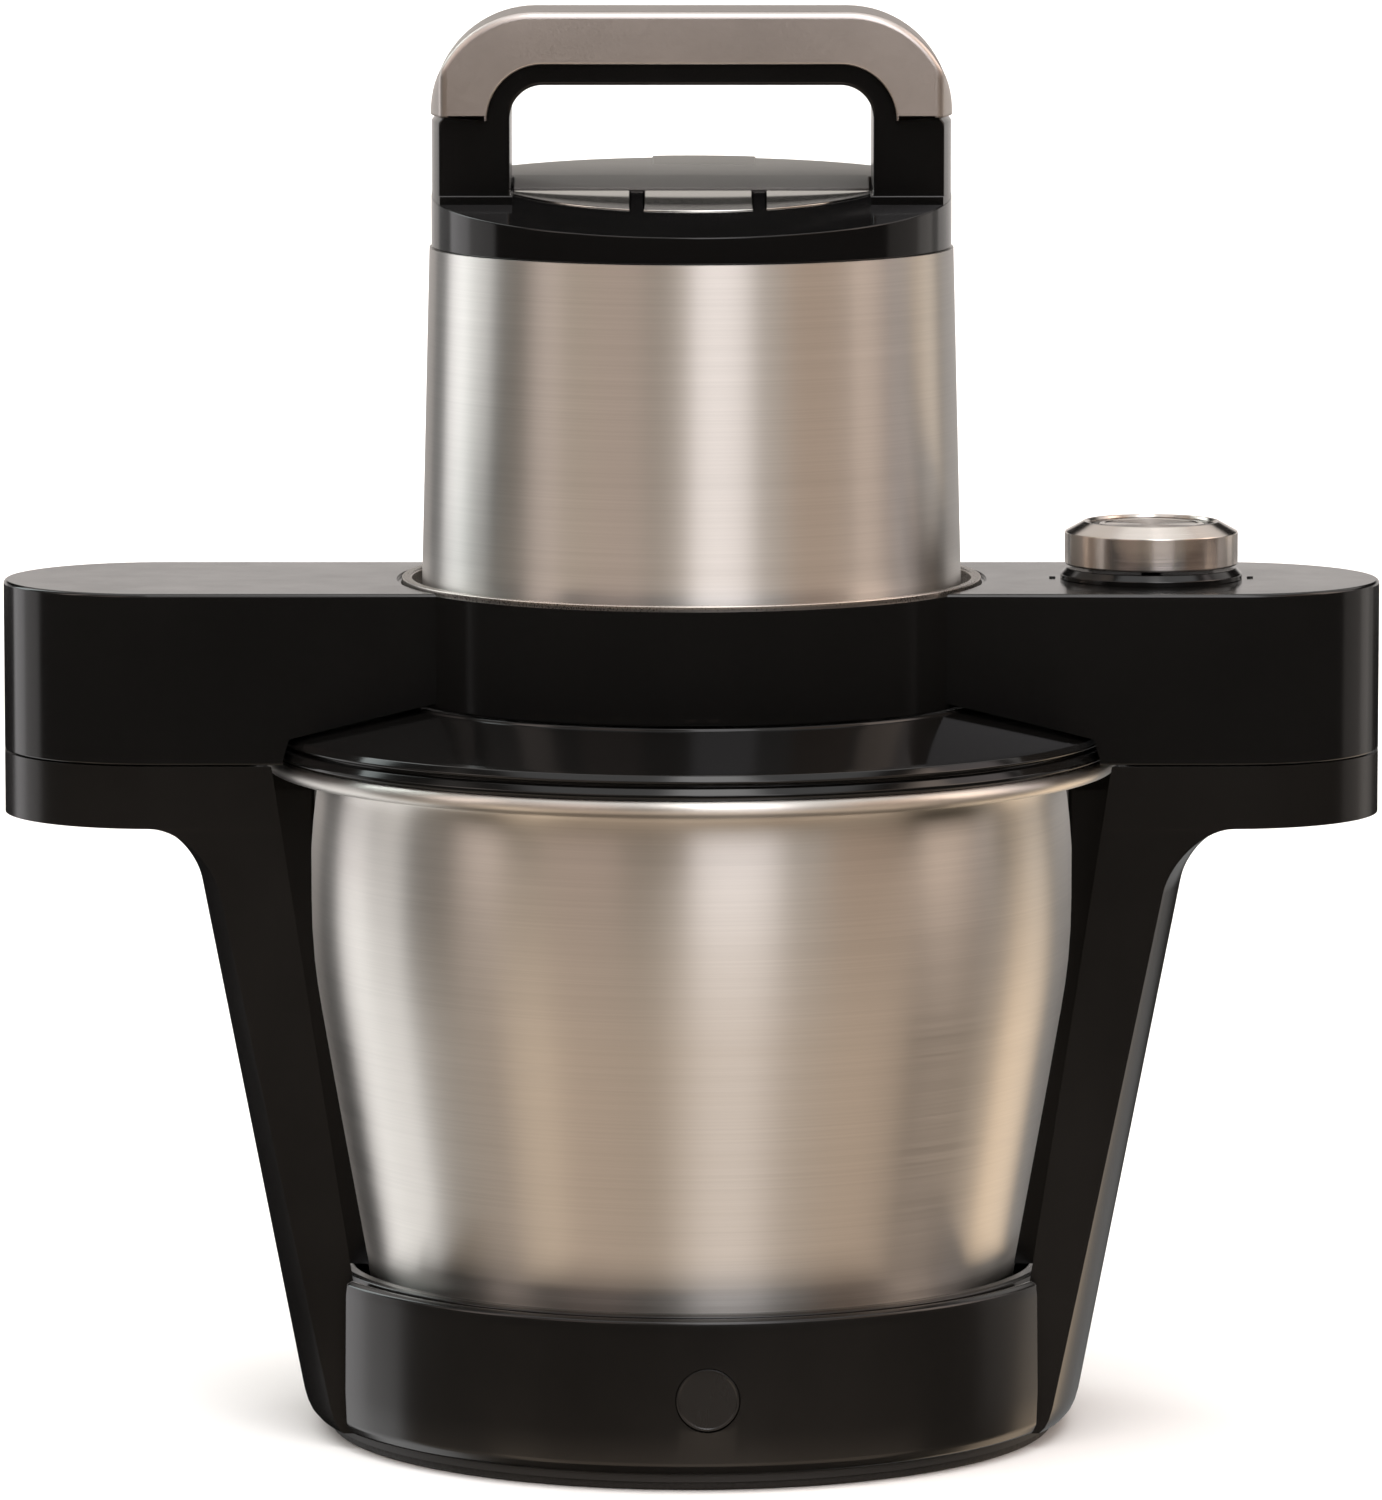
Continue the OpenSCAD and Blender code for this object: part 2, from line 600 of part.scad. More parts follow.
base_shell();
left_pillar();
right_pillar();
wing_plates();
locating_pegs();
base_cover();
rubber_ring();
base_screws();
seat_ring();
base_badge();
bowl();
spindle();
spindle_seal();
spindle_nut();
blade_bush();
blade_shaft();
lower_blade();
upper_blade();
blade_spacers();
lid_cover();
lid_seals();
lid_bush();
bridge_shell();
bottom_plates();
collar_ring();
motor_sleeve();
head_cap();
rear_cover();
handle_core();
handle_cover();
stator_core();
field_coils();
motor_frame();
upper_bracket();
brush_gear();
gearbox_housing();
gearbox_cover();
ring_gear();
bearings();
button_board();
speed_control();
mains_inlet();
knob_base_ring();
panel_marks();
knob_ring();
knob_insert();
knob_disc();
button_left();
button_middle();
button_right();
rotor_shaft();
rotor_core();
commutator();
cooling_fan();
sun_gear();
planet_carrier();
drive_coupling();
planet_a();
planet_b();
planet_c();
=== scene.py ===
"""Looks of the electric pounder: moulded black frame and power unit, brushed steel bowl and motor
sleeve, warm grey handle cover, turned knob and three metal buttons. Metres, in the row frame.
Lengths inside the shape helpers are millimetres."""

import json
import math

import bmesh
import bpy
from mathutils import Matrix, Vector


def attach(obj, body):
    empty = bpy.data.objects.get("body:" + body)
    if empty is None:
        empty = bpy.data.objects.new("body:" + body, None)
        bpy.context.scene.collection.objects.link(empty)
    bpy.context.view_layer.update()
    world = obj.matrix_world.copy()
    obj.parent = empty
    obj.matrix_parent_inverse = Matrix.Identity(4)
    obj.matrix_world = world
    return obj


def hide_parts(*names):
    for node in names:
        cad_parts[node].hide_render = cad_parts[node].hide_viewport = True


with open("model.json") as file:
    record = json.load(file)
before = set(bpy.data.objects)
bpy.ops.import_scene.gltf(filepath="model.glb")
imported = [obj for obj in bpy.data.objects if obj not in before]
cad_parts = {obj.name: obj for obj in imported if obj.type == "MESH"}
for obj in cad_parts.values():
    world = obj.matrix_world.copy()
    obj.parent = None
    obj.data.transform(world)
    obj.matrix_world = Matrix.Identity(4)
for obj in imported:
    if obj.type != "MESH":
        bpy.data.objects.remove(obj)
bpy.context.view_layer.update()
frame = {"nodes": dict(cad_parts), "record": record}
nodes = frame["nodes"]
MM = 0.001
PI = math.pi


# ------------------------------------------------------------------ camera
cam_data = bpy.data.cameras.new("camera")
cam = bpy.data.objects.new("camera", cam_data)
bpy.context.scene.collection.objects.link(cam)
cam.location = (-0.00014, -2.828, 0.551)
cam.rotation_euler = (math.radians(90 - 7.13), 0, 0)
cam_data.sensor_width = 36
cam_data.lens = 9827 * 36 / 1500
cam_data.clip_start = 0.05
cam_data.clip_end = 200
bpy.context.scene.camera = cam
bpy.context.scene.view_settings.view_transform = "Standard"


# ------------------------------------------------------------------ mesh helpers
def rounded(points, k=5):
    """closed outline; a corner given as (x, y, radius) becomes an arc of k steps"""
    out = []
    n = len(points)
    for i, p in enumerate(points):
        rad = p[2] if len(p) > 2 else 0
        here = Vector((p[0], p[1]))
        if not rad:
            out.append((p[0], p[1]))
            continue
        a, b = points[i - 1], points[(i + 1) % n]
        u = Vector((a[0], a[1])) - here
        v = Vector((b[0], b[1])) - here
        lu, lv = u.length, v.length
        u.normalize()
        v.normalize()
        th = u.angle(v)
        if th > PI - 0.02:
            out.append((p[0], p[1]))
            continue
        t = min(rad / math.tan(th / 2), 0.48 * lu, 0.48 * lv)
        rr = t * math.tan(th / 2)
        c = here + (u + v).normalized() * (rr / math.sin(th / 2))
        s, e = here + u * t - c, here + v * t - c
        a0, a1 = math.atan2(s.y, s.x), math.atan2(e.y, e.x)
        d = (a1 - a0 + PI) % (2 * PI) - PI
        for j in range(k + 1):
            out.append((c.x + rr * math.cos(a0 + d * j / k), c.y + rr * math.sin(a0 + d * j / k)))
    return out


def area2(pts):
    return sum(pts[i - 1][0] * pts[i][1] - pts[i][0] * pts[i - 1][1] for i in range(len(pts)))


def inset(pts, d):
    """closed counter-clockwise outline moved inwards by d, corner by corner"""
    out = []
    n = len(pts)
    for i in range(n):
        p, a, b = Vector(pts[i]), Vector(pts[i - 1]), Vector(pts[(i + 1) % n])
        u, v = (p - a), (b - p)
        if u.length < 1e-9 or v.length < 1e-9:
            out.append(tuple(p))
            continue
        u.normalize()
        v.normalize()
        nu, nv = Vector((-u.y, u.x)), Vector((-v.y, v.x))
        m = nu + nv
        if m.length < 1e-6:
            out.append(tuple(p + nu * d))
            continue
        m.normalize()
        out.append(tuple(p + m * (d / max(0.35, m.dot(nu)))))
    return out


def finish_mesh(bm, name, matrix=None, merge=True):
    if matrix is not None:
        bmesh.ops.transform(bm, matrix=matrix, verts=bm.verts)
    bmesh.ops.scale(bm, vec=(MM, MM, MM), verts=bm.verts)
    if merge:
        bmesh.ops.remove_doubles(bm, verts=bm.verts, dist=2e-6)
        bmesh.ops.dissolve_degenerate(bm, dist=1e-6, edges=bm.edges)
    bmesh.ops.recalc_face_normals(bm, faces=bm.faces)
    me = bpy.data.meshes.new(name)
    bm.to_mesh(me)
    bm.free()
    ob = bpy.data.objects.new(name, me)
    bpy.context.scene.collection.objects.link(ob)
    return ob


def rings_to_bmesh(rings, cap_first=True, cap_last=True, closed_stack=False):
    """rings: lists of the same number of 3-D points; quads between them, n-gon caps at the ends"""
    bm = bmesh.new()
    vs = [[bm.verts.new(p) for p in ring] for ring in rings]
    m = len(vs)
    for i in range(m if closed_stack else m - 1):
        a, b = vs[i], vs[(i + 1) % m]
        n = len(a)
        for j in range(n):
            k = (j + 1) % n
            bm.faces.new((a[j], a[k], b[k], b[j]))
    if not closed_stack:
        if cap_first:
            bm.faces.new(list(reversed(vs[0])))
        if cap_last:
            bm.faces.new(vs[-1])
    return bm


def prism(name, outline, z0, z1, r0=0.0, r1=0.0, k=4, matrix=None, extra_top=None):
    """outline pulled up from z0 to z1 with rounded lower (r0) and upper (r1) edges"""
    if area2(outline) < 0:
        outline = list(reversed(outline))
    levels = []
    if r0:
        levels += [(r0 * (1 - math.sin(PI / 2 * j / k)), z0 + r0 * (1 - math.cos(PI / 2 * j / k))) for j in range(k + 1)]
    else:
        levels.append((0, z0))
    if r1:
        levels += [(r1 * (1 - math.cos(PI / 2 * j / k)), z1 - r1 * (1 - math.sin(PI / 2 * j / k))) for j in range(k + 1)]
    else:
        levels.append((0, z1))
    levels += extra_top or []
    rings = []
    for d, z in levels:
        pts = inset(outline, d) if d else outline
        rings.append([(x, y, z) for x, y in pts])
    return finish_mesh(rings_to_bmesh(rings), name, matrix)


def lathe(name, profile, n=256, centre=(0, 0), matrix=None):
    """closed profile of (radius, z) turned round the vertical axis through centre"""
    bm = bmesh.new()
    rows = []
    cs = [(math.cos(2 * PI * j / n), math.sin(2 * PI * j / n)) for j in range(n)]
    for r, z in profile:
        if r < 1e-6:
            v = bm.verts.new((centre[0], centre[1], z))
            rows.append([v] * n)
        else:
            rows.append([bm.verts.new((centre[0] + r * c, centre[1] + r * s, z)) for c, s in cs])
    m = len(rows)
    for i in range(m):
        a, b = rows[i], rows[(i + 1) % m]
        for j in range(n):
            k = (j + 1) % n
            quad = []
            for v in (a[j], a[k], b[k], b[j]):
                if v not in quad:
                    quad.append(v)
            if len(quad) > 2:
                bm.faces.new(quad)
    return finish_mesh(bm, name, matrix)


def bake(ob):
    """modifiers made part of the mesh"""
    bpy.context.view_layer.update()
    dg = bpy.context.evaluated_depsgraph_get()
    me = bpy.data.meshes.new_from_object(ob.evaluated_get(dg))
    me.name = ob.name
    ob.modifiers.clear()
    old = ob.data
    ob.data = me
    bpy.data.meshes.remove(old)
    return ob


def combine(ob, others, operation="DIFFERENCE"):
    for c in others:
        m = ob.modifiers.new("combine", "BOOLEAN")
        m.operation = operation
        m.solver = "EXACT"
        m.object = c
    bake(ob)
    for c in others:
        me = c.data
        bpy.data.objects.remove(c)
        bpy.data.meshes.remove(me)
    return ob


def bevel(ob, width, segments=3, angle=32, clamp=True):
    m = ob.modifiers.new("bevel", "BEVEL")
    m.width = width * MM
    m.segments = segments
    m.limit_method = "ANGLE"
    m.angle_limit = math.radians(angle)
    m.use_clamp_overlap = clamp
    m.miter_outer = "MITER_ARC"
    bake(ob)
    return ob


def smooth(ob, angle=32):
    ob.data.shade_smooth()
    ob.data.set_sharp_from_angle(angle=math.radians(angle))
    m = ob.modifiers.new("normals", "WEIGHTED_NORMAL")
    m.keep_sharp = True
    m.weight = 60
    return ob


def place(ob, body, material, stands_for=(), angle=32):
    smooth(ob, angle)
    ob.data.materials.clear()
    ob.data.materials.append(material)
    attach(ob, body)
    if stands_for:
        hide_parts(*stands_for)
    return ob


def block(name, x0, x1, y0, y1, z0, z1, matrix=None):
    return prism(name, [(x0, y0), (x1, y0), (x1, y1), (x0, y1)], z0, z1, matrix=matrix)


# ------------------------------------------------------------------ materials
def tree(name):
    m = bpy.data.materials.new(name)
    m.use_nodes = True
    nt = m.node_tree
    return m, nt, nt.nodes["Principled BSDF"]


def coords(nt, scale):
    tc = nt.nodes.new("ShaderNodeTexCoord")
    mp = nt.nodes.new("ShaderNodeMapping")
    mp.inputs["Scale"].default_value = scale
    nt.links.new(tc.outputs["Object"], mp.inputs["Vector"])
    return mp.outputs["Vector"]


def noise(nt, vector, detail=3.0, rough=0.5, scale=1.0):
    n = nt.nodes.new("ShaderNodeTexNoise")
    n.inputs["Scale"].default_value = scale
    n.inputs["Detail"].default_value = detail
    n.inputs["Roughness"].default_value = rough
    nt.links.new(vector, n.inputs["Vector"])
    return n.outputs["Fac"]


def ramp(nt, fac, lo, hi, a=0.3, b=0.7):
    """fac from a..b mapped to lo..hi; numbers or colours"""
    if isinstance(lo, (int, float)):
        n = nt.nodes.new("ShaderNodeMapRange")
        n.inputs["From Min"].default_value = a
        n.inputs["From Max"].default_value = b
        n.inputs["To Min"].default_value = lo
        n.inputs["To Max"].default_value = hi
        nt.links.new(fac, n.inputs["Value"])
        return n.outputs["Result"]
    n = nt.nodes.new("ShaderNodeValToRGB")
    n.color_ramp.elements[0].position = a
    n.color_ramp.elements[1].position = b
    n.color_ramp.elements[0].color = (*lo, 1)
    n.color_ramp.elements[1].color = (*hi, 1)
    nt.links.new(fac, n.inputs["Fac"])
    return n.outputs["Color"]


def bump(nt, bsdf, height, distance, strength=1.0, chain=None):
    n = nt.nodes.new("ShaderNodeBump")
    n.inputs["Distance"].default_value = distance
    n.inputs["Strength"].default_value = strength
    nt.links.new(height, n.inputs["Height"])
    if chain is not None:
        nt.links.new(chain, n.inputs["Normal"])
    nt.links.new(n.outputs["Normal"], bsdf.inputs["Normal"])
    return n.outputs["Normal"]


def scaled(c, k):
    return tuple(min(1.0, x * k) for x in c)


def plastic(name, colour, rough=0.26, ior=1.36, spread=0.03, grain=0.0000022, grain_scale=1400, coat=0.0):
    """moulded plastic: faint cloudy sheen variation and a very fine moulded grain"""
    m, nt, b = tree(name)
    cloud = noise(nt, coords(nt, (9, 9, 9)), 4, 0.55)
    fine = noise(nt, coords(nt, (grain_scale,) * 3), 2, 0.5)
    smear = noise(nt, coords(nt, (60, 60, 18)), 5, 0.6)
    nt.links.new(ramp(nt, cloud, scaled(colour, 0.86), scaled(colour, 1.16)), b.inputs["Base Color"])
    mix = nt.nodes.new("ShaderNodeMath")
    mix.operation = "ADD"
    nt.links.new(ramp(nt, cloud, rough - spread, rough + spread), mix.inputs[0])
    nt.links.new(ramp(nt, smear, -0.015, 0.02), mix.inputs[1])
    nt.links.new(mix.outputs["Value"], b.inputs["Roughness"])
    b.inputs["IOR"].default_value = ior
    if coat:
        b.inputs["Coat Weight"].default_value = coat
        b.inputs["Coat Roughness"].default_value = 0.08
    bump(nt, b, fine, grain)
    return m


def steel(name, colour, rough=0.40, aniso=0.86, lines=0.0000045, spread=0.03, tint=0.04, fine=1700, around=True):
    """brushed round the vertical axis: long fine lines across which highlights stretch"""
    m, nt, b = tree(name)
    hair = noise(nt, coords(nt, (5, 5, fine)), 3, 0.62)
    band = noise(nt, coords(nt, (3, 3, 240)), 4, 0.6)
    cloud = noise(nt, coords(nt, (7, 7, 7)), 3, 0.5)
    c0, c1 = scaled(colour, 1 - tint), scaled(colour, 1 + tint)
    tone = ramp(nt, hair, c0, c1, 0.32, 0.68)
    mixc = nt.nodes.new("ShaderNodeMix")
    mixc.data_type = "RGBA"
    mixc.blend_type = "MULTIPLY"
    mixc.inputs[0].default_value = 1.0
    nt.links.new(tone, mixc.inputs["A"])
    nt.links.new(ramp(nt, band, (0.97, 0.97, 0.97), (1.0, 1.0, 1.0)), mixc.inputs["B"])
    nt.links.new(mixc.outputs["Result"], b.inputs["Base Color"])
    add = nt.nodes.new("ShaderNodeMath")
    add.operation = "ADD"
    nt.links.new(ramp(nt, hair, rough - spread, rough + spread, 0.25, 0.75), add.inputs[0])
    nt.links.new(ramp(nt, cloud, -0.02, 0.02), add.inputs[1])
    nt.links.new(add.outputs["Value"], b.inputs["Roughness"])
    b.inputs["Metallic"].default_value = 1.0
    b.inputs["Anisotropic"].default_value = aniso
    b.inputs["Anisotropic Rotation"].default_value = 0.25
    if around:
        tg = nt.nodes.new("ShaderNodeTangent")
        tg.direction_type = "RADIAL"
        tg.axis = "Z"
        nt.links.new(tg.outputs["Tangent"], b.inputs["Tangent"])
    bump(nt, b, hair, lines)
    return m


def metal(name, colour, rough=0.35, metallic=1.0, spread=0.04, tint=0.05, grain=0.0000015, grain_scale=2200, stretch=(1, 1, 1)):
    """satin or polished metal, blasted or anodised: fine even grain and soft cloudiness"""
    m, nt, b = tree(name)
    cloud = noise(nt, coords(nt, (14, 14, 14)), 4, 0.55)
    fine = noise(nt, coords(nt, tuple(grain_scale * s for s in stretch)), 2, 0.5)
    nt.links.new(ramp(nt, cloud, scaled(colour, 1 - tint), scaled(colour, 1 + tint)), b.inputs["Base Color"])
    add = nt.nodes.new("ShaderNodeMath")
    add.operation = "ADD"
    nt.links.new(ramp(nt, cloud, rough - spread, rough + spread), add.inputs[0])
    nt.links.new(ramp(nt, fine, -0.03, 0.03), add.inputs[1])
    nt.links.new(add.outputs["Value"], b.inputs["Roughness"])
    b.inputs["Metallic"].default_value = metallic
    bump(nt, b, fine, grain)
    return m


def rubber(name, colour):
    m, nt, b = tree(name)
    fine = noise(nt, coords(nt, (900, 900, 900)), 4, 0.65)
    cloud = noise(nt, coords(nt, (25, 25, 25)), 3, 0.5)
    nt.links.new(ramp(nt, cloud, scaled(colour, 0.8), scaled(colour, 1.3)), b.inputs["Base Color"])
    nt.links.new(ramp(nt, fine, 0.55, 0.8), b.inputs["Roughness"])
    b.inputs["IOR"].default_value = 1.45
    bump(nt, b, fine, 0.00004)
    return m


def winding(name, colour):
    """varnished copper wire wound round the poles"""
    m, nt, b = tree(name)
    w = nt.nodes.new("ShaderNodeTexWave")
    w.wave_type = "BANDS"
    w.bands_direction = "Z"
    w.inputs["Scale"].default_value = 320
    w.inputs["Distortion"].default_value = 1.2
    w.inputs["Detail"].default_value = 1.0
    tc = nt.nodes.new("ShaderNodeTexCoord")
    nt.links.new(tc.outputs["Object"], w.inputs["Vector"])
    nt.links.new(ramp(nt, w.outputs["Fac"], scaled(colour, 0.45), scaled(colour, 1.15), 0.1, 0.8), b.inputs["Base Color"])
    b.inputs["Metallic"].default_value = 0.9
    b.inputs["Roughness"].default_value = 0.32
    bump(nt, b, w.outputs["Fac"], 0.0003)
    return m


def laminations(name, colour):
    """stack of thin sheets, seen as fine horizontal lines"""
    m, nt, b = tree(name)
    w = nt.nodes.new("ShaderNodeTexWave")
    w.wave_type = "BANDS"
    w.bands_direction = "Z"
    w.inputs["Scale"].default_value = 300
    tc = nt.nodes.new("ShaderNodeTexCoord")
    nt.links.new(tc.outputs["Object"], w.inputs["Vector"])
    nt.links.new(ramp(nt, w.outputs["Fac"], scaled(colour, 0.55), scaled(colour, 1.1), 0.2, 0.8), b.inputs["Base Color"])
    b.inputs["Metallic"].default_value = 0.8
    b.inputs["Roughness"].default_value = 0.5
    bump(nt, b, w.outputs["Fac"], 0.0001)
    return m


def board(name):
    m, nt, b = tree(name)
    v = nt.nodes.new("ShaderNodeTexVoronoi")
    v.feature = "DISTANCE_TO_EDGE"
    nt.links.new(coords(nt, (220, 220, 220)), v.inputs["Vector"])
    nt.links.new(ramp(nt, v.outputs["Distance"], (0.02, 0.14, 0.06), (0.01, 0.075, 0.035), 0.02, 0.08), b.inputs["Base Color"])
    b.inputs["Roughness"].default_value = 0.4
    return m


M = {}
M["frame_black"] = plastic("frame_black", (0.0052, 0.0047, 0.0042), rough=0.20, ior=1.45)
M["unit_black"] = plastic("unit_black", (0.0040, 0.0038, 0.0036), rough=0.14, ior=1.45, spread=0.02)
M["lid_black"] = plastic("lid_black", (0.0036, 0.0034, 0.0032), rough=0.11, ior=1.41, spread=0.02)
M["cap_black"] = plastic("cap_black", (0.0034, 0.0032, 0.0031), rough=0.10, ior=1.38, spread=0.015, grain=0.0000012)
# rear deck: really black gloss plastic; this grey base colour is painted reflection, standing in for the pale backdrop
# the deck mirrors at grazing angles
M["rear_black"] = plastic("rear_black", (0.165, 0.158, 0.148), rough=0.32, ior=1.5, grain=0.0000006)
M["handle_black"] = plastic("handle_black", (0.0034, 0.0032, 0.003), rough=0.18, ior=1.45, spread=0.02)
M["inner_black"] = plastic("inner_black", (0.016, 0.0155, 0.015), rough=0.55, ior=1.45, grain=0.00003)
M["badge_black"] = plastic("badge_black", (0.0085, 0.0078, 0.0072), rough=0.26, ior=1.45)
M["mark_dark"] = plastic("mark_dark", (0.012, 0.012, 0.012), rough=0.5, ior=1.45)
M["handle_metal"] = metal("handle_metal", (0.58, 0.535, 0.505), rough=0.37, spread=0.02)
M["trim_metal"] = metal("trim_metal", (0.62, 0.575, 0.53), rough=0.28)
M["button_metal"] = metal("button_metal", (0.60, 0.585, 0.55), rough=0.20, spread=0.02, grain=0.0000003)
M["knob_metal"] = steel("knob_metal", (0.66, 0.61, 0.565), rough=0.25, aniso=0.92, fine=2500)
M["knob_black"] = plastic("knob_black", (0.005, 0.005, 0.005), rough=0.2, ior=1.45)
M["sleeve_steel"] = steel("sleeve_steel", (0.66, 0.635, 0.605), rough=0.37, aniso=0.94)
M["bowl_steel"] = steel("bowl_steel", (0.66, 0.63, 0.59), rough=0.37, aniso=0.94)
M["blade_steel"] = metal("blade_steel", (0.62, 0.60, 0.57), rough=0.24, stretch=(1, 0.04, 1))
M["pin_steel"] = metal("pin_steel", (0.55, 0.54, 0.52), rough=0.25)
M["bush_polymer"] = plastic("bush_polymer", (0.05, 0.048, 0.045), rough=0.42, ior=1.45, grain=0.00003)
M["rubber_black"] = rubber("rubber_black", (0.009, 0.0085, 0.008))
M["core_iron"] = laminations("core_iron", (0.20, 0.19, 0.18))
M["coil_copper"] = winding("coil_copper", (0.62, 0.26, 0.12))
M["cast_metal"] = metal("cast_metal", (0.38, 0.38, 0.37), rough=0.5, grain=0.00006, grain_scale=700)
M["gear_steel"] = metal("gear_steel", (0.50, 0.49, 0.47), rough=0.3)
M["board_green"] = board("board_green")

# every frame node starts with the material of its slot
slot_of = {row["node"]: row["material_slot"] for row in frame["record"]["subparts"]}
for n, ob in nodes.items():
    ob.data.materials.clear()
    ob.data.materials.append(M[slot_of[n]])


# ------------------------------------------------------------------ base frame
CX, WR, TA = 154.5, 44.5, math.radians(0.74)
WH = (WR + CX * math.sin(TA)) / math.cos(TA) - 0.05
XT, YT = CX + WR * math.sin(TA), WR * math.cos(TA)


def wing_half(x):
    return WH - x * math.tan(TA)


def wing_outline(t=0.0, n=72):
    """whole outline of both wings seen from above, moved inwards by t"""
    r = WR - t
    pts = []
    for s in (1, -1):
        for j in range(n + 1):
            a = -PI / 2 + TA + (PI - 2 * TA) * j / n
            pts.append((s * (CX + r * math.cos(a)), s * r * math.sin(a)))
    return pts


def make_drum():
    core = lathe("base_drum", rounded([
        (105.6, 4.6), (105.6, 48.2), (105.3, 48.2), (105.1, 49.6, 0.5), (103.8, 50.0, 0.6), (101.0, 49.9, 0.8),
        (99.3, 49.0, 0.8), (98.8, 46.5, 1.5), (98.8, 20, 1.5), (10.0, 20), (10.0, 12), (20, 12), (20, 16.5),
        (95, 16.5), (95, 4.6)], 4), 288)
    prof = rounded([
        (102.0, 6.0), (104.5, 4.75), (106.8, 4.75, 0.4), (109.6, 5.6, 1.6), (110.9, 8.2, 3), (111.3, 18), (111.0, 45.8),
        (110.6, 48.9, 1.2), (109.2, 49.75, 1.0), (107.6, 49.5, 0.5), (107.3, 48.1, 0.3), (104.9, 48.1), (102.0, 47.0)], 4)
    end, rho, steps = math.radians(63.7), 0.9, 92
    half = [(end * 0.992 * j / steps, 0.0) for j in range(steps)]
    half += [(end - rho / 110 * (1 - math.sin(PI / 2 * j / 4)), rho * (1 - math.cos(PI / 2 * j / 4))) for j in range(5)]
    cols = [(-a, d) for a, d in reversed(half[1:])] + half
    aprons = []
    for turn in (0, PI):
        rings = []
        for a, d in cols:
            ring = []
            for r, z in prof:
                k = max(0.0, min(1.0, (r - 105.6) / 4.0))
                rr = r - d * k
                ring.append((rr * math.sin(a + turn), -rr * math.cos(a + turn), z - (0.4 * d * k if z > 46 else 0)))
            rings.append(ring)
        aprons.append(finish_mesh(rings_to_bmesh(rings), "apron"))
    combine(core, aprons, "UNION")
    # hexagonal pocket in the floor and the round seat of the badge
    hexa = prism("hexa", [(14.2 * math.cos(PI / 3 * i), 14.2 * math.sin(PI / 3 * i)) for i in range(6)], 10, 21)
    turn = Matrix.Rotation(math.radians(2.38), 4, "Z") @ Matrix.Translation((0, -111 + 2.2, 26.8)) @ Matrix.Rotation(PI / 2, 4, "X")
    seat = lathe("seat", [(0, 0), (9.2, 0), (9.2, 8), (0, 8)], 64, matrix=turn)
    combine(core, [hexa, seat])
    return core


def bowl_r(z):
    return 107.4 - (122 - z) * 0.174 if z < 122 else 110.6 - (z - 158) ** 2 / 404


def corner(r):
    """where the circle of radius r meets the front plane of the wing"""
    t = math.tan(TA)
    x = (WH * t + math.sqrt(max(0.0, WH * WH * t * t - (1 + t * t) * (WH * WH - r * r)))) / (1 + t * t)
    return min(x, XT)


def bezier(p0, p1, p2, p3, n):
    out = []
    for i in range(n + 1):
        t = i / n
        a, b, c, d = (1 - t) ** 3, 3 * t * (1 - t) ** 2, 3 * t * t * (1 - t), t ** 3
        out.append((a * p0[0] + b * p1[0] + c * p2[0] + d * p3[0], a * p0[1] + b * p1[1] + c * p2[1] + d * p3[1]))
    return out


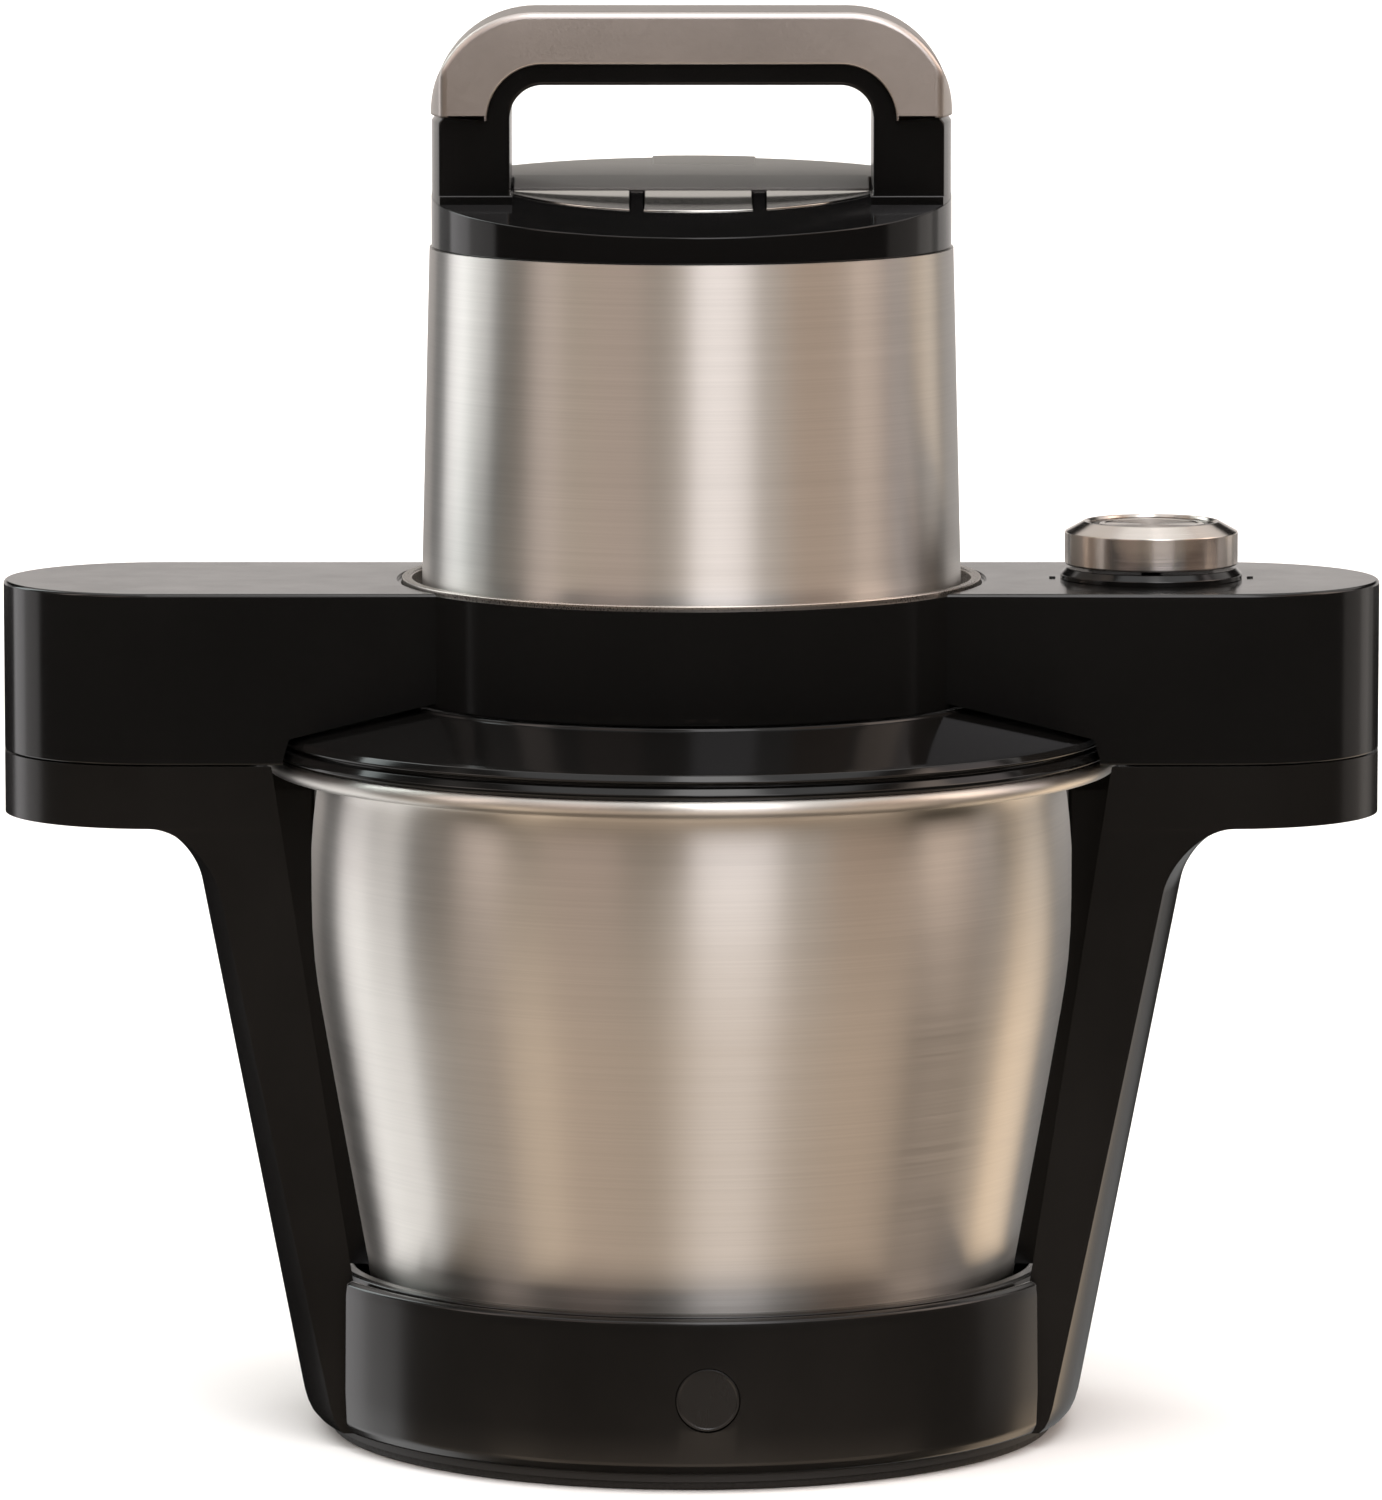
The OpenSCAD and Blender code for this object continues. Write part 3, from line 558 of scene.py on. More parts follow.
def make_pillar(name, side):
    N = 48
    k = 0.1927
    r_top = math.hypot(XT, YT)
    s0 = (142.02, 161.35)
    kn = math.hypot(k, 1)
    curve = bezier(s0, (s0[0] + k / kn * 8.7, s0[1] + 8.7 / kn), (r_top - 8.7, 180), (r_top, 180), 14)
    line = [(109.8, 4.6), (111.3, 6.3), (112.3, 8.4), (113.2, 11.6)]
    line += [(113.2 + (142.02 - 113.2) * i / 16, 11.6 + (161.35 - 11.6) * i / 16) for i in range(1, 16)]
    line += curve

    def inner(z):
        return 105.7 if z <= 38.6 else 105.7 + (128.1 - 105.7) * (z - 38.6) / (198 - 38.6)

    bm = bmesh.new()

    def arc(r, z, x=None):
        x = corner(r) if x is None else x
        a = math.acos(min(1.0, x / r))
        return [bm.verts.new((r * math.cos(-a + 2 * a * j / N), r * math.sin(-a + 2 * a * j / N), z)) for j in range(N + 1)]

    outer = [arc(r, z) for r, z in line]
    inn = [arc(inner(z), z) for r, z in line]

    def wing_end(z):
        a = PI / 2 - TA
        return [bm.verts.new((CX + WR * math.cos(-a + 2 * a * j / N), WR * math.sin(-a + 2 * a * j / N), z)) for j in range(N + 1)]

    # the lowest ring of the wing shares its end points with the top of the leg
    low = wing_end(180)
    low[0], low[-1] = outer[-1][0], outer[-1][-1]
    for a, b in zip(outer, outer[1:]):
        for j in range(N):
            bm.faces.new((a[j], a[j + 1], b[j + 1], b[j]))
    for a, b in zip(inn, inn[1:]):
        for j in range(N):
            bm.faces.new((b[j], b[j + 1], a[j + 1], a[j]))
    for i in range(len(outer) - 1):
        for e in (0, -1):
            f = (inn[i][e], outer[i][e], outer[i + 1][e], inn[i + 1][e])
            bm.faces.new(f if e == 0 else tuple(reversed(f)))
    # underside of the wing
    a, b = outer[-1], low
    for j in range(N):
        q = [a[j], a[j + 1], b[j + 1], b[j]]
        q = [v for i, v in enumerate(q) if v not in q[:i]]
        bm.faces.new(q)
    # walls of the wing up to the seam
    rows_out, rows_in = [low], [inn[-1]]
    for z in (186, 192, 198):
        rows_out.append(wing_end(z))
        rows_in.append(arc(inner(z), z))
    for a, b in zip(rows_out, rows_out[1:]):
        for j in range(N):
            bm.faces.new((a[j], a[j + 1], b[j + 1], b[j]))
    for a, b in zip(rows_in, rows_in[1:]):
        for j in range(N):
            bm.faces.new((b[j], b[j + 1], a[j + 1], a[j]))
    for i in range(len(rows_out) - 1):
        for e in (0, -1):
            f = (rows_in[i][e], rows_out[i][e], rows_out[i + 1][e], rows_in[i + 1][e])
            bm.faces.new(f if e == 0 else tuple(reversed(f)))
    # bottom, and the top with its shallow pocket for the closing plate
    for j in range(N):
        bm.faces.new((inn[0][j], inn[0][j + 1], outer[0][j + 1], outer[0][j]))
    loop = list(rows_out[-1]) + list(reversed(rows_in[-1]))
    flat = [(v.co.x, v.co.y) for v in loop]
    inside = inset(flat, 3.0)
    ring1 = [bm.verts.new((x, y, 198)) for x, y in inside]
    ring2 = [bm.verts.new((x, y, 194.8)) for x, y in inside]
    n = len(loop)
    for j in range(n):
        q = (j + 1) % n
        bm.faces.new((loop[j], loop[q], ring1[q], ring1[j]))
        bm.faces.new((ring1[j], ring1[q], ring2[q], ring2[j]))
    bm.faces.new(ring2)
    mirror = Matrix.Diagonal((side, 1, 1, 1))
    ob = finish_mesh(bm, name, mirror)
    bevel(ob, 0.8, 3, 28)
    # upright ribs that guide the bowl
    ribs = []
    for y in (-27, 23):
        rings = []
        for z in (51, 64, 80, 96, 110, 122, 131, 140, 149, 158, 168, 178, 185, 189):
            ri, ro = bowl_r(min(z, 158)) + 2, inner(z) + 1.5
            ring = []
            for r, yy in ((ri, y), (ro, y), (ro, y + 4), (ri, y + 4)):
                # the top falls away to the rear
                ring.append((math.sqrt(r * r - yy * yy), yy, z - (0.75 * (yy - y) if z == 189 else 0)))
            rings.append(ring)
        ribs.append(finish_mesh(rings_to_bmesh(rings), "rib", mirror))
    combine(ob, ribs, "UNION")
    return ob


drum = make_drum()
place(drum, "frame", M["frame_black"], ["base_shell"])
for side, nm in ((1, "right"), (-1, "left")):
    pillar = place(make_pillar(f"pillar_moulding_{nm}", side), "frame", M["frame_black"], [f"{nm}_pillar"])
    pillar.visible_glossy = False

ring_foot = lathe("foot_ring", rounded([
    (105.4, 2.6, 0.3), (105.4, 0.4, 1.1), (104.2, 0, 0.4), (100.2, 0, 0.4), (99.2, 0.3, 0.4), (99, 1.4, 0.2),
    (97, 1.4, 0.2), (97, 2.6)], 4), 192)
place(ring_foot, "frame", M["rubber_black"], ["rubber_ring"])

badge_turn = Matrix.Rotation(math.radians(2.38), 4, "Z") @ Matrix.Translation((0, -110.6, 26.8)) @ Matrix.Rotation(PI / 2, 4, "X")
badge = lathe("badge_disc", [(0, -1.8), (9.0, -1.8)] + rounded([(9.0, -1.0), (9.0, 0.0, 0.5), (8.3, 0.0, 0.15), (8.0, -0.22, 0.2), (0.01, -0.22)], 4)[1:-1] + [(0, -0.2)], 96, matrix=badge_turn)
place(badge, "frame", M["badge_black"], ["base_badge"])


# ------------------------------------------------------------------ bowl and lid
def make_bowl():
    t = 1.2
    out = [(5.2, 24), (40, 24), (80, 24), (83.4, 24.3), (86.0, 25.1), (88.2, 26.5), (89.9, 28.4), (91.0, 30.6)]
    out += [(bowl_r(z), z) for z in (34, 50, 66, 82, 98, 110, 122, 130, 138, 146, 154, 162, 170, 177, 183, 187)]
    out += [(108.35, 190.2), (109.0, 192.0), (110.4, 192.9), (113, 193.1), (119, 193.4)]
    for i in range(0, 13):
        a = math.radians(-120 + 240 * i / 12)
        out.append((121.6 + 2.4 * math.cos(a), 195.6 + 2.4 * math.sin(a)))
    out += [(119.4, 196.6), (118.4, 195.1), (116.6, 194.7), (111.4, 194.6), (109.4, 194.2), (108.0, 193.1), (107.3, 191.2), (107.15, 190.2)]
    out += [(bowl_r(z) - t, z) for z in (187, 183, 177, 170, 162, 154, 146, 138, 130, 122, 110, 98, 82, 66, 50, 34)]
    out += [(89.7, 31.0), (88.7, 29.2), (87.2, 27.6), (85.3, 26.3), (82.9, 25.5), (80, 25.2), (40, 25.2), (5.2, 25.2)]
    return lathe("bowl_spun", out, 320)


place(make_bowl(), "bowl", M["bowl_steel"], ["bowl"], 40)

lid = lathe("lid_moulding", rounded([
    (12.2, 209.4), (80, 210), (86, 211), (103, 206.7), (103, 186, 0.5), (105.6, 186, 0.8), (105.6, 188),
    (104.8, 188), (104.8, 192), (105.6, 192), (105.6, 198.1), (122.0, 198.1, 0.5), (122.5, 198.9, 0.5),
    (122.5, 199.7, 0.6), (121.1, 201.5, 0.8), (119.8, 201.75, 0.25), (119.8, 202.4, 0.25), (121.2, 202.7, 0.4),
    (121.6, 203.3, 0.5), (120.2, 205.0, 0.8), (118.4, 205.55, 0.6), (87.6, 213.39, 0.15), (87.3, 214.1, 0.45),
    (86.1, 214.1, 0.4), (85.6, 213.4), (80, 212.9, 1.5), (12.2, 212.5, 0.5)], 4), 320)
place(lid, "lid", M["lid_black"], ["lid_cover"])


# ------------------------------------------------------------------ bridge of the power unit
def make_bridge():
    wings = prism("bridge_moulding", wing_outline(), 198.4, 247.5, 0.45, 1.1, 4)
    hub = lathe("hub", rounded([(40, 216), (85.3, 216, 0.7), (85.3, 247.0, 0.2), (40, 247.0)], 4), 288)
    combine(wings, [hub], "UNION")
    room = lathe("room", [(0, 150), (124.8, 150), (124.8, 200), (123.2, 205.8), (86.0, 215.98), (0, 215.98)], 288)
    well = lathe("well", rounded([(0, 238), (72, 238), (72, 244), (83.9, 244, 0.2), (83.9, 246.6, 0.25), (85.3, 246.6, 0.3), (85.3, 262), (0, 262)], 3), 288)
    cutters = [room, well]
    for a in range(54, 127, 9):
        mt = Matrix.Rotation(math.radians(a), 4, "Z")
        cutters.append(prism("slot", rounded([(77, 223.0, 1.2), (92, 223.0, 1.2), (92, 239, 1.2), (77, 239, 1.2)], 3), -1.6, 1.6,
                             matrix=mt @ Matrix.Rotation(PI / 2, 4, "X")))
    cutters.append(block("inlet", 110.9, 139.1, 30, 60, 213.9, 234.1))
    combine(wings, cutters)
    # lip that closes the slit over the lid
    lip = lathe("lip", rounded([(82.4, 214.35, 0.3), (85.25, 214.35, 0.6), (85.25, 216.5), (82.4, 216.5)], 4), 288)
    combine(wings, [lip], "UNION")
    return wings


place(make_bridge(), "power_unit", M["unit_black"], ["bridge_shell"], 30)

trim = lathe("trim_ring", rounded([(80.8, 244), (83.7, 244), (83.7, 248.3, 0.3), (80.8, 248.3, 0.7)], 5), 288)
place(trim, "power_unit", M["trim_metal"], ["collar_ring"])

sleeve_prof = [(78 - 2.5 * i / 24, 244 + (343.6 - 244) * i / 24) for i in range(25)]
sleeve = lathe("sleeve_rolled", sleeve_prof + [(r - 1.3, z) for r, z in reversed(sleeve_prof)], 320)
place(sleeve, "power_unit", M["sleeve_steel"], ["motor_sleeve"])


# ------------------------------------------------------------------ head cap, buttons, rear cover
SLOPE = math.radians(5.74)
PANEL = Matrix.Translation((0, 0, 358.9)) @ Matrix.Rotation(SLOPE, 4, "X")
BUTTONS = [(-51.5, -17.7), (-13.6, 17.5), (21.4, 51.5)]


def slice_off(bm, point, normal):
    """removes what lies on the normal's side of a plane and closes the cut"""
    r = bmesh.ops.bisect_plane(bm, geom=bm.verts[:] + bm.edges[:] + bm.faces[:], dist=1e-6,
                               plane_co=point, plane_no=normal, clear_outer=True)
    cut = [e for e in r["geom_cut"] if isinstance(e, bmesh.types.BMEdge)]
    if cut:
        bmesh.ops.contextual_create(bm, geom=cut)


def lens(b, g=0.0, n=28):
    """outline of one button, g wider all round"""
    x0, x1 = b[0] - g, b[1] + g
    r = 60 + g
    top = 2.4 + g
    pts = []
    for i in range(n + 1):
        x = x0 + (x1 - x0) * i / n
        pts.append((x, 28 - math.sqrt(r * r - x * x)))
    return pts + [(x1, top), (x0, top)]


def make_cap():
    bm = bmesh.new()
    n = 288
    levels = [(71.6, 343.6), (74.4, 343.6), (74.75, 343.75), (74.9, 344.1), (74.9, 372)]
    rows = [[bm.verts.new((r * math.cos(2 * PI * j / n), r * math.sin(2 * PI * j / n), z)) for j in range(n)] for r, z in levels]
    for a, b in zip(rows, rows[1:]):
        for j in range(n):
            k = (j + 1) % n
            bm.faces.new((a[j], a[k], b[k], b[j]))
    bm.faces.new(list(reversed(rows[0])))
    bm.faces.new(rows[-1])
    slice_off(bm, (0, 0, 359.2), (0, 0, 1))
    slice_off(bm, (0, 0, 358.9), (0, -math.sin(SLOPE), math.cos(SLOPE)))
    ob = finish_mesh(bm, "cap_moulding")
    bevel(ob, 1.9, 6, 40)
    cutters = [prism("window", lens(b, 0.35), -8.5, 10, matrix=PANEL) for b in BUTTONS]
    combine(ob, cutters)
    return ob


place(make_cap(), "power_unit", M["cap_black"], ["head_cap"], 25)


DISH = []
for i in range(101):
    v = i / 100
    a = min(1.0, max(0.0, (v - 0.46) / 0.10))
    b = min(1.0, max(0.0, (v - 0.72) / 0.12))
    grade = -3.7 + 4.7 * a * a * (3 - 2 * a) + 6.5 * b * b * (3 - 2 * b)
    DISH.append((DISH[-1] if DISH else 0.0) + math.tan(math.radians(grade)) / 100)


def dish(x, y):
    """height of the shallow finger dish, hollow from the front edge to the rear edge"""
    front = 28 - math.sqrt(3600 - x * x)
    span = 2.4 - front
    v = min(1.0, max(0.0, (y - front) / span)) * 100
    i = min(99, int(v))
    return 0.45 + span * (DISH[i] + (DISH[i + 1] - DISH[i]) * (v - i))


def make_button(name, b, nx=26, ny=34, rim=0.4):
    def grid(d):
        out = []
        for i in range(nx + 1):
            x = b[0] + d + (b[1] - b[0] - 2 * d) * i / nx
            front = 28 - math.sqrt((60 - d) ** 2 - x * x)
            out.append([(x, front + (2.4 - d - front) * j / ny) for j in range(ny + 1)])
        return out

    def border(g):
        loop = [g[i][0] for i in range(nx + 1)] + [g[nx][j] for j in range(1, ny + 1)]
        return loop + [g[i][ny] for i in range(nx - 1, -1, -1)] + [g[0][j] for j in range(ny - 1, 0, -1)]

    bm = bmesh.new()
    face = [[bm.verts.new((x, y, dish(x, y))) for x, y in col] for col in grid(rim)]
    for a, c in zip(face, face[1:]):
        for j in range(ny):
            bm.faces.new((a[j], c[j], c[j + 1], a[j + 1]))
    inner, outer = border(grid(rim)), border(grid(0.0))
    last = border(face)
    for k in range(1, 6):
        t = PI / 2 * k / 5
        ring = [bm.verts.new((p[0] + (q[0] - p[0]) * math.sin(t), p[1] + (q[1] - p[1]) * math.sin(t), dish(p[0], p[1]) - rim * (1 - math.cos(t))))
                for p, q in zip(inner, outer)]
        for j in range(len(ring)):
            m = (j + 1) % len(ring)
            bm.faces.new((last[j], ring[j], ring[m], last[m]))
        last = ring
    low = [bm.verts.new((q[0], q[1], -4.4)) for q in outer]
    for j in range(len(low)):
        m = (j + 1) % len(low)
        bm.faces.new((last[j], low[j], low[m], last[m]))
    bm.faces.new(list(reversed(low)))
    return finish_mesh(bm, name, PANEL)


for side, b in zip(("left", "middle", "right"), BUTTONS):
    place(make_button(f"key_{side}", b), f"button_{side}", M["button_metal"], [f"button_{side}"], 40)


def make_rear():
    n = 120
    a0 = math.asin(20.7 / 72.7)
    pts = [(-51.4, 4.4), (51.4, 4.4), (51.4, 20.7)]
    pts += [(72.7 * math.cos(a0 + (PI - 2 * a0) * j / n), 72.7 * math.sin(a0 + (PI - 2 * a0) * j / n)) for j in range(n + 1)]
    pts += [(-51.4, 20.7)]
    bm = rings_to_bmesh([[(x, y, 359.2) for x, y in pts], [(x, y, 372) for x, y in pts]])
    for y, z, deg in ((72, 364.6, 2.29), (22, 362.6, 8.04)):
        s = math.radians(deg)
        slice_off(bm, (0, y, z), (0, -math.sin(s), math.cos(s)))
    ob = finish_mesh(bm, "deck_moulding")
    bevel(ob, 0.7, 3, 50)
    return ob


# the deck's grey colour is painted reflection of the backdrop on black plastic, not its own colour
place(make_rear(), "power_unit", M["rear_black"], ["rear_cover"], 25)

def make_pad():
    """low raised field at the rear of the deck, rising slowly from its front edge"""
    a0, a1 = math.asin(18.9 / 72.2), math.asin(-11.5 / 72.2)
    arc = [(72.2 * math.sin(a0 + (a1 - a0) * j / 12), 72.2 * math.cos(a0 + (a1 - a0) * j / 12)) for j in range(13)]
    outline = [(-11.5, 50), (18.9, 50)] + arc
    inner = inset(outline, 0.35)

    def top(y):
        return 363.85 + (y - 50) * 0.0607

    return finish_mesh(rings_to_bmesh([[(x, y, 361.0) for x, y in outline], [(x, y, top(y) - 0.25) for x, y in outline],
                                       [(x, y, top(y)) for x, y in inner]]), "deck_pad")


# the raised pad shares the deck's painted-reflection grey
place(make_pad(), "power_unit", M["rear_black"])


# ------------------------------------------------------------------ handle
def arch_line(x, top, r, z_end, n=20, straight=6, across=16):
    """(x, z, nx, nz) stations of a rounded arch from the lower left end to the lower right end"""
    left = []
    for i in range(straight):
        left.append((-x, z_end + (top - r - z_end) * i / straight, -1.0, 0.0))
    for i in range(n + 1):
        a = PI - PI / 2 * i / n
        left.append((-x + r + r * math.cos(a), top - r + r * math.sin(a), math.cos(a), math.sin(a)))
    mid = [(-(x - r) + 2 * (x - r) * i / across, top, 0.0, 1.0) for i in range(1, across)]
    right = [(-a, z, -nx, nz) for a, z, nx, nz in reversed(left)]
    return left + mid + right


def arch_body(name, outer, inner, depth, cyl, r_out, r_in, k=4, cols=14):
    """band between two arches, depth to each side of Y = 0, kept inside a cylinder"""
    def column_list(rr):
        out = []
        for j in range(k + 1):
            t = PI / 2 * j / k
            out.append((-depth + rr * (1 - math.sin(t)), rr * (1 - math.cos(t))))
        out = [(y, o) for y, o in reversed([(-depth + rr * (1 - math.sin(PI / 2 * j / k)), rr * (1 - math.cos(PI / 2 * (1 - j / k)))) for j in range(k + 1)])]
        return out

    def edge(rr):
        """(y, offset) from the front face to the flat of the band"""
        return [(-depth + rr * (1 - math.cos(PI / 2 * j / k)), rr * (1 - math.sin(PI / 2 * j / k))) for j in range(k + 1)]

    eo, ei = edge(r_out), edge(r_in)
    y_o = [y for y, o in eo][-1]
    mid = [(y_o + (-2 * y_o) * j / cols, 0.0) for j in range(1, cols)]
    outer_cols = eo + mid + [(-y, o) for y, o in reversed(eo)]
    y_i = [y for y, o in ei][-1]
    midi = [(y_i + (-2 * y_i) * j / cols, 0.0) for j in range(1, cols)]
    inner_cols = ei + midi + [(-y, o) for y, o in reversed(ei)]
    rings = []
    for (xo, zo, nx, nz), (xi, zi, mx, mz), c in zip(outer, inner, cyl):
        ring = []
        for y, o in outer_cols:
            lim = math.sqrt(max(1.0, c * c - y * y)) - o
            x = xo - o * nx
            x = max(-lim, min(lim, x))
            ring.append((x, y, zo - o * nz))
        for y, o in reversed(inner_cols):
            x = xi + o * mx
            lim = math.sqrt(max(1.0, c * c - y * y)) - 0.8
            ring.append((max(-lim, min(lim, x)), y, zi + o * mz))
        rings.append(ring)
    return rings


def soften_ends(rings, d=0.4):
    """small chamfer on the two end faces"""
    for e, nxt in ((0, 1), (-1, -2)):
        ring = rings[e]
        c = Vector((0, 0, 0))
        for p in ring:
            c += Vector(p)
        c /= len(ring)
        small = []
        for p in ring:
            q = Vector(p)
            u = (c - q)
            u.z = 0
            small.append(tuple(q + u.normalized() * min(d, u.length * 0.3)))
        lifted = [(p[0], p[1], p[2] + d) for p in ring]
        if e == 0:
            rings = [small, lifted] + rings[1:]
        else:
            rings = rings[:-1] + [lifted, small]
    return rings


co = arch_line(75, 412, 30, 382)
ci = arch_line(58.5, 397, 16, 382)
cover_rings = soften_ends(arch_body("handle_shell", co, ci, 22, [75.0] * len(co), 2.1, 0.6))
cover = finish_mesh(rings_to_bmesh(cover_rings), "handle_shell")
place(cover, "power_unit", M["handle_metal"], ["handle_cover"], 40)

ko = arch_line(74.7, 409.8, 29.6, 352, straight=10)
ki = arch_line(52, 391, 9.5, 352, straight=10)
ko = [(x, z, nx, nz) for x, z, nx, nz in ko]
core_rings = arch_body("handle_arch", ko, ki, 19.5, [74.7 if z < 381.9 else 72.9 for x, z, nx, nz in ko], 0.7, 0.9)
core = finish_mesh(rings_to_bmesh(core_rings), "handle_arch")
place(core, "power_unit", M["handle_black"], ["handle_core"], 40)

for s, nm in ((1, "right"), (-1, "left")):
    n = 16
    a0 = math.asin(20.2 / 74.8)
    pts = [(52.0 - 0.7, -20.2)] + [(74.8 * math.cos(-a0 + 2 * a0 * j / n), 74.8 * math.sin(-a0 + 2 * a0 * j / n)) for j in range(n + 1)] + [(52.0 - 0.7, 20.2)]
    pts = [(s * x, y) for x, y in pts]
    foot = prism(f"handle_foot_{nm}", pts, 350, 359.5, 0, 0.5, 3)
    place(foot, "power_unit", M["handle_black"])


# ------------------------------------------------------------------ knob
KX = 133


def knob_part(name, profile, n=160):
    ob = lathe(name, profile, n)
    ob.location = (KX * MM, 0, 0)
    return ob


kb = knob_part("knob_base", rounded([(4.6, 247.5), (26.3, 247.5, 0.2), (26.3, 248.9, 0.5), (24.6, 250.7, 0.5), (4.6, 250.8)], 4))
place(kb, "power_unit", M["unit_black"], ["knob_base_ring"])
kr = knob_part("knob_turned", rounded([
    (18.1, 252), (24.6, 251.6, 0.3), (25, 252.1, 0.3), (25, 261.1, 0.5), (19.6, 264.1, 0.6), (18.6, 264.1, 0.3), (18.1, 263.4, 0.2)], 5))
place(kr, "knob", M["knob_metal"], ["knob_ring"])
ki_ = knob_part("knob_inlay", rounded([
    (3, 234), (3, 252.6), (18.05, 252.6), (18.05, 263.2, 0.3), (15.4, 263.2, 0.3), (15.4, 261), (0.02, 261), (0.02, 234)], 3))
place(ki_, "knob", M["knob_black"], ["knob_insert"])
kd = knob_part("knob_plate", [(0, 261)] + rounded([(15.3, 261), (15.3, 263.4, 0.5), (13.8, 263.4, 0.3), (13.2, 263.2, 0.3), (0.02, 263.05)], 4)[:-1] + [(0, 263.05)])
place(kd, "knob", M["knob_metal"], ["knob_disc"])


# ------------------------------------------------------------------ studio
world = bpy.data.worlds.new("studio")
bpy.context.scene.world = world
world.use_nodes = True
wt = world.node_tree
wbg = wt.nodes["Background"]


def wmath(op, a, b=None, c=None):
    n = wt.nodes.new("ShaderNodeMath")
    n.operation = op
    for k, v in enumerate((a, b, c)):
        if v is None:
            continue
        if isinstance(v, (int, float)):
            n.inputs[k].default_value = v
        else:
            wt.links.new(v, n.inputs[k])
    return n.outputs["Value"]


def edge(value, start, end):
    n = wt.nodes.new("ShaderNodeMapRange")
    n.interpolation_type = "SMOOTHSTEP"
    n.inputs["From Min"].default_value = start
    n.inputs["From Max"].default_value = end
    wt.links.new(value, n.inputs["Value"])
    return n.outputs["Result"]


wc = wt.nodes.new("ShaderNodeTexCoord")
sep = wt.nodes.new("ShaderNodeSeparateXYZ")
wt.links.new(wc.outputs["Generated"], sep.inputs["Vector"])
w_az = wmath("MULTIPLY", wmath("ARCTAN2", sep.outputs["X"], wmath("MULTIPLY", sep.outputs["Y"], -1.0)), 180 / PI)
w_el = wmath("MULTIPLY", wmath("ARCSINE", sep.outputs["Z"]), 180 / PI)


def softbox(az0, az1, el0, el1, radiance, colour=(1, 1, 1), soft=4.0, soft_el=4.0):
    """soft-edged panel far away: azimuth 0 is the camera's side and positive to the right, degrees"""
    mid, half = (az0 + az1) / 2, (az1 - az0) / 2
    d = wmath("ABSOLUTE", wmath("WRAP", wmath("SUBTRACT", w_az, mid), 180.0, -180.0))
    v = edge(d, half + soft / 2, half - soft / 2)
    e = wmath("ABSOLUTE", wmath("SUBTRACT", w_el, (el0 + el1) / 2))
    v = wmath("MULTIPLY", v, edge(e, (el1 - el0) / 2 + soft_el / 2, (el1 - el0) / 2 - soft_el / 2))
    s = wt.nodes.new("ShaderNodeVectorMath")
    s.operation = "SCALE"
    s.inputs[0].default_value = [radiance * c for c in colour]
    wt.links.new(v, s.inputs["Scale"])
    return s.outputs["Vector"]


def wsum(parts, base):
    total = None
    for p in parts:
        n = wt.nodes.new("ShaderNodeVectorMath")
        n.operation = "ADD"
        if total is None:
            n.inputs[0].default_value = base
        else:
            wt.links.new(total, n.inputs[0])
        wt.links.new(p, n.inputs[1])
        total = n.outputs["Vector"]
    wt.links.new(total, wbg.inputs["Color"])


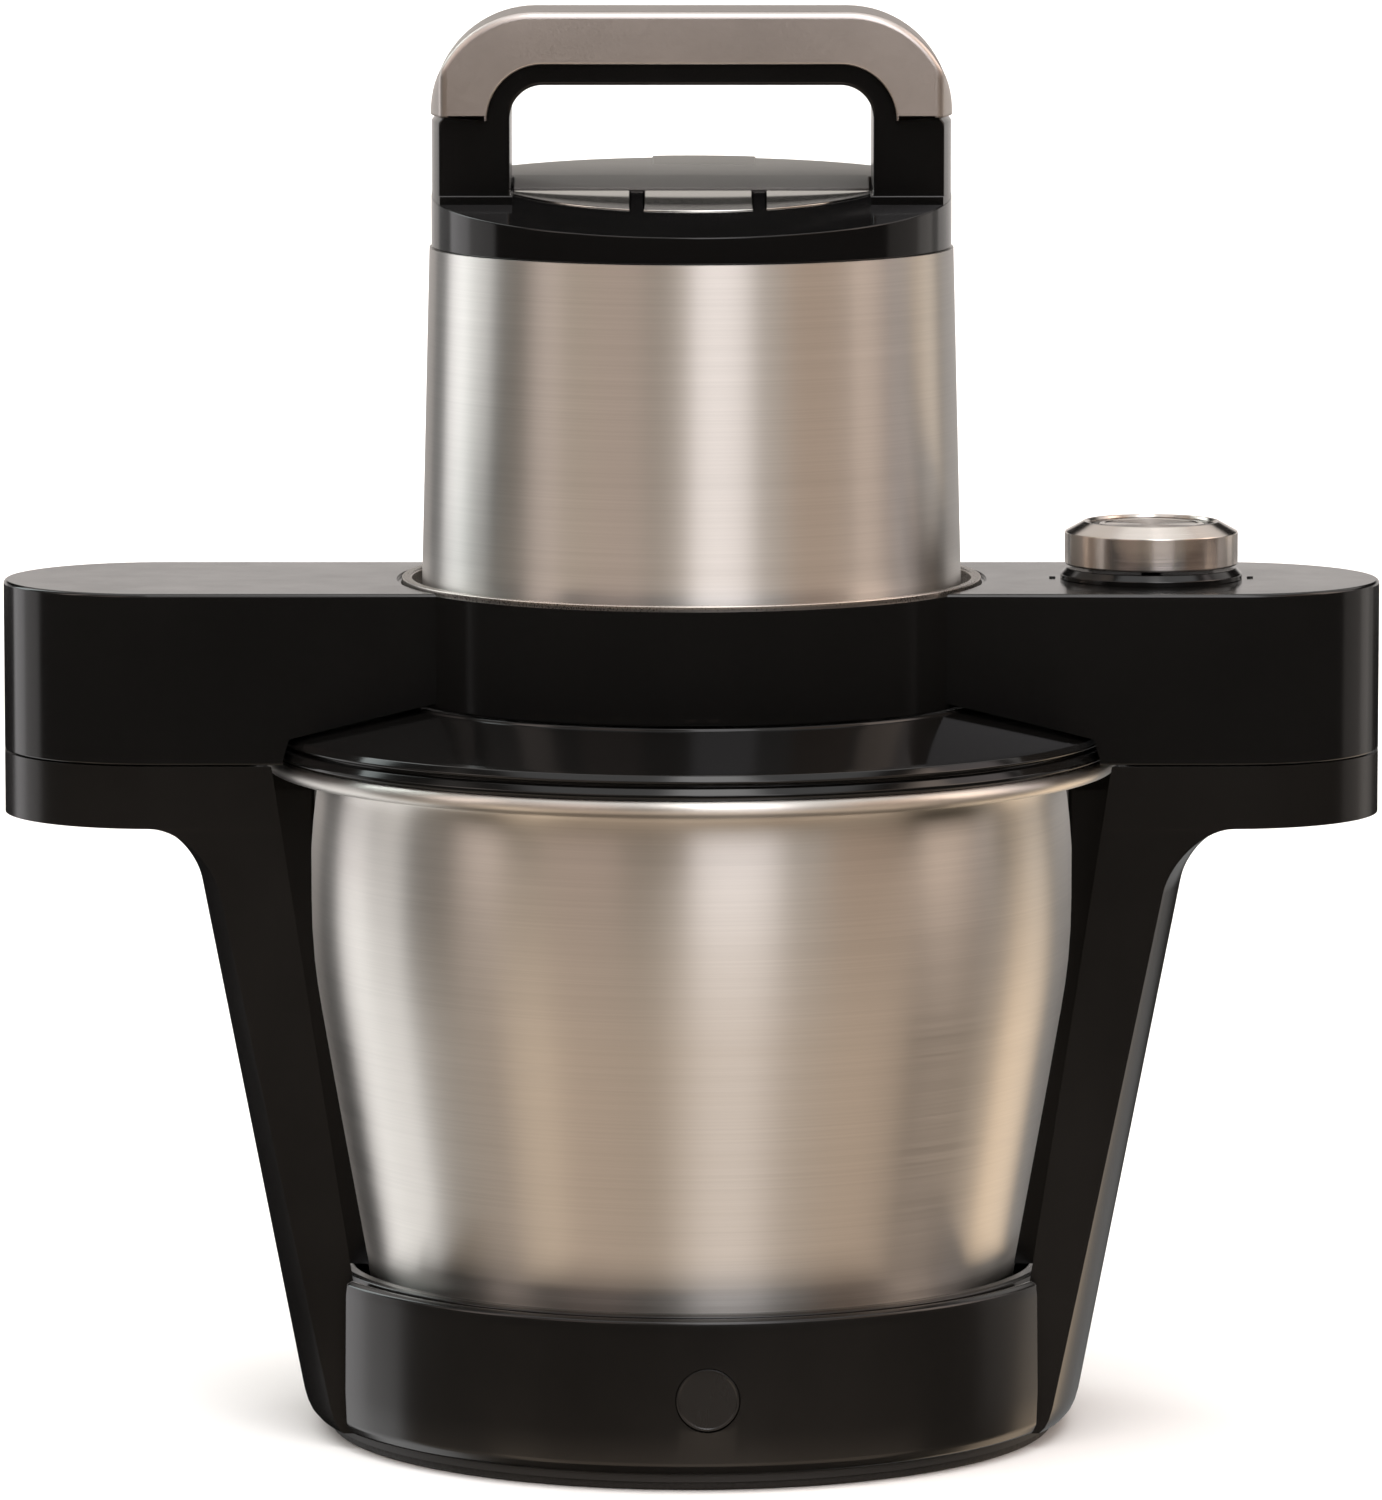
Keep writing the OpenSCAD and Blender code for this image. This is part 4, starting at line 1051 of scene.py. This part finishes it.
wsum([
    # pale backdrop low behind the machine, a little weaker on the right
    softbox(142, 209, -5, 9.5, 0.80, (1, 0.94, 0.90), soft_el=3),
    softbox(-152, -133, -5, 13, 0.36, (1, 0.98, 0.97)),
    softbox(-134, -97, -12, 13, 0.80, (1, 0.97, 0.96)),
    softbox(-134, -116, -12, 13, 0.6, (1, 0.98, 1.02)),
    softbox(97, 134, -12, 13, 0.36, (1, 0.92, 0.86)),
    softbox(120, 143, -10, 13, 0.34, (1, 0.95, 0.90)),
    softbox(-240, -120, 28, 58, 0.9, (1, 0.95, 0.91)),
    # warm light thrown up by the table
    softbox(-64, 74, -52, -15, 0.91, (1.08, 0.86, 0.67)),
    softbox(-98, -64, -52, -14, 0.50, (1, 0.84, 0.68)),
    softbox(-134, -98, -52, -12, 1.5),
    softbox(-62, -46, -52, -15, 0.42, (1, 0.85, 0.65)),
    softbox(-8, 24, -52, -15, 0.22, (1, 0.93, 0.84)),
    softbox(116, 144, -52, -12, 1.7, (1, 0.78, 0.56)),
    softbox(74, 116, -52, -14, 0.14, (1, 0.85, 0.66)),
    softbox(144, 178, -52, -12, 0.30),
    # upright panels round the front
    softbox(-135, -115, 13, 52, 3.5, (0.9, 1, 1)),
    softbox(-98, 116, 13, 52, 0.48, (1, 0.92, 0.86)),
    softbox(-78, -62, 13, 52, 1.9, (1.1, 0.92, 0.84)),
    softbox(-48, -22, 13, 52, 0.50, (1.2, 0.86, 0.76)),
    softbox(0, 28, 13, 52, 2.7, (1, 0.98, 1.03)),
    softbox(28, 44, 13, 52, 0.70),
    softbox(44, 72, 13, 52, 0.40, (1.3, 0.75, 0.45)),
    softbox(76, 98, 13, 52, 2.4, (1.17, 0.93, 0.78)),
    softbox(98, 116, 13, 52, 0.85, (1.1, 0.95, 0.95)),
    # overhead
    softbox(-10, 32, 50, 78, 4.0, (1, 0.985, 0.975), soft=16, soft_el=8),
    softbox(-180, 180, 58, 100, 1.35),
], (0.006, 0.006, 0.006))

sun = bpy.data.lights.new("overhead_fill", "SUN")
sun.energy = 1.7
sun.angle = math.radians(75)
sun.color = (1, 0.985, 0.965)
sun_ob = bpy.data.objects.new("overhead_fill", sun)
bpy.context.scene.collection.objects.link(sun_ob)
sun_ob.rotation_euler = (math.radians(12), math.radians(-10), 0)
sun_ob.visible_glossy = False

bm = bmesh.new()
bmesh.ops.create_circle(bm, cap_ends=True, radius=40, segments=96)
me = bpy.data.meshes.new("floor")
bm.to_mesh(me)
bm.free()
floor = bpy.data.objects.new("floor", me)
bpy.context.scene.collection.objects.link(floor)
floor.visible_glossy = False
floor.visible_shadow = False
fm, fnt, fb = tree("floor_pale")
fcloud = noise(fnt, coords(fnt, (3, 3, 3)), 2, 0.5)
fnt.links.new(ramp(fnt, fcloud, (0.90, 0.895, 0.885), (0.92, 0.915, 0.905)), fb.inputs["Base Color"])
fb.inputs["Roughness"].default_value = 0.9
fb.inputs["Specular IOR Level"].default_value = 0.0
floor.data.materials.append(fm)
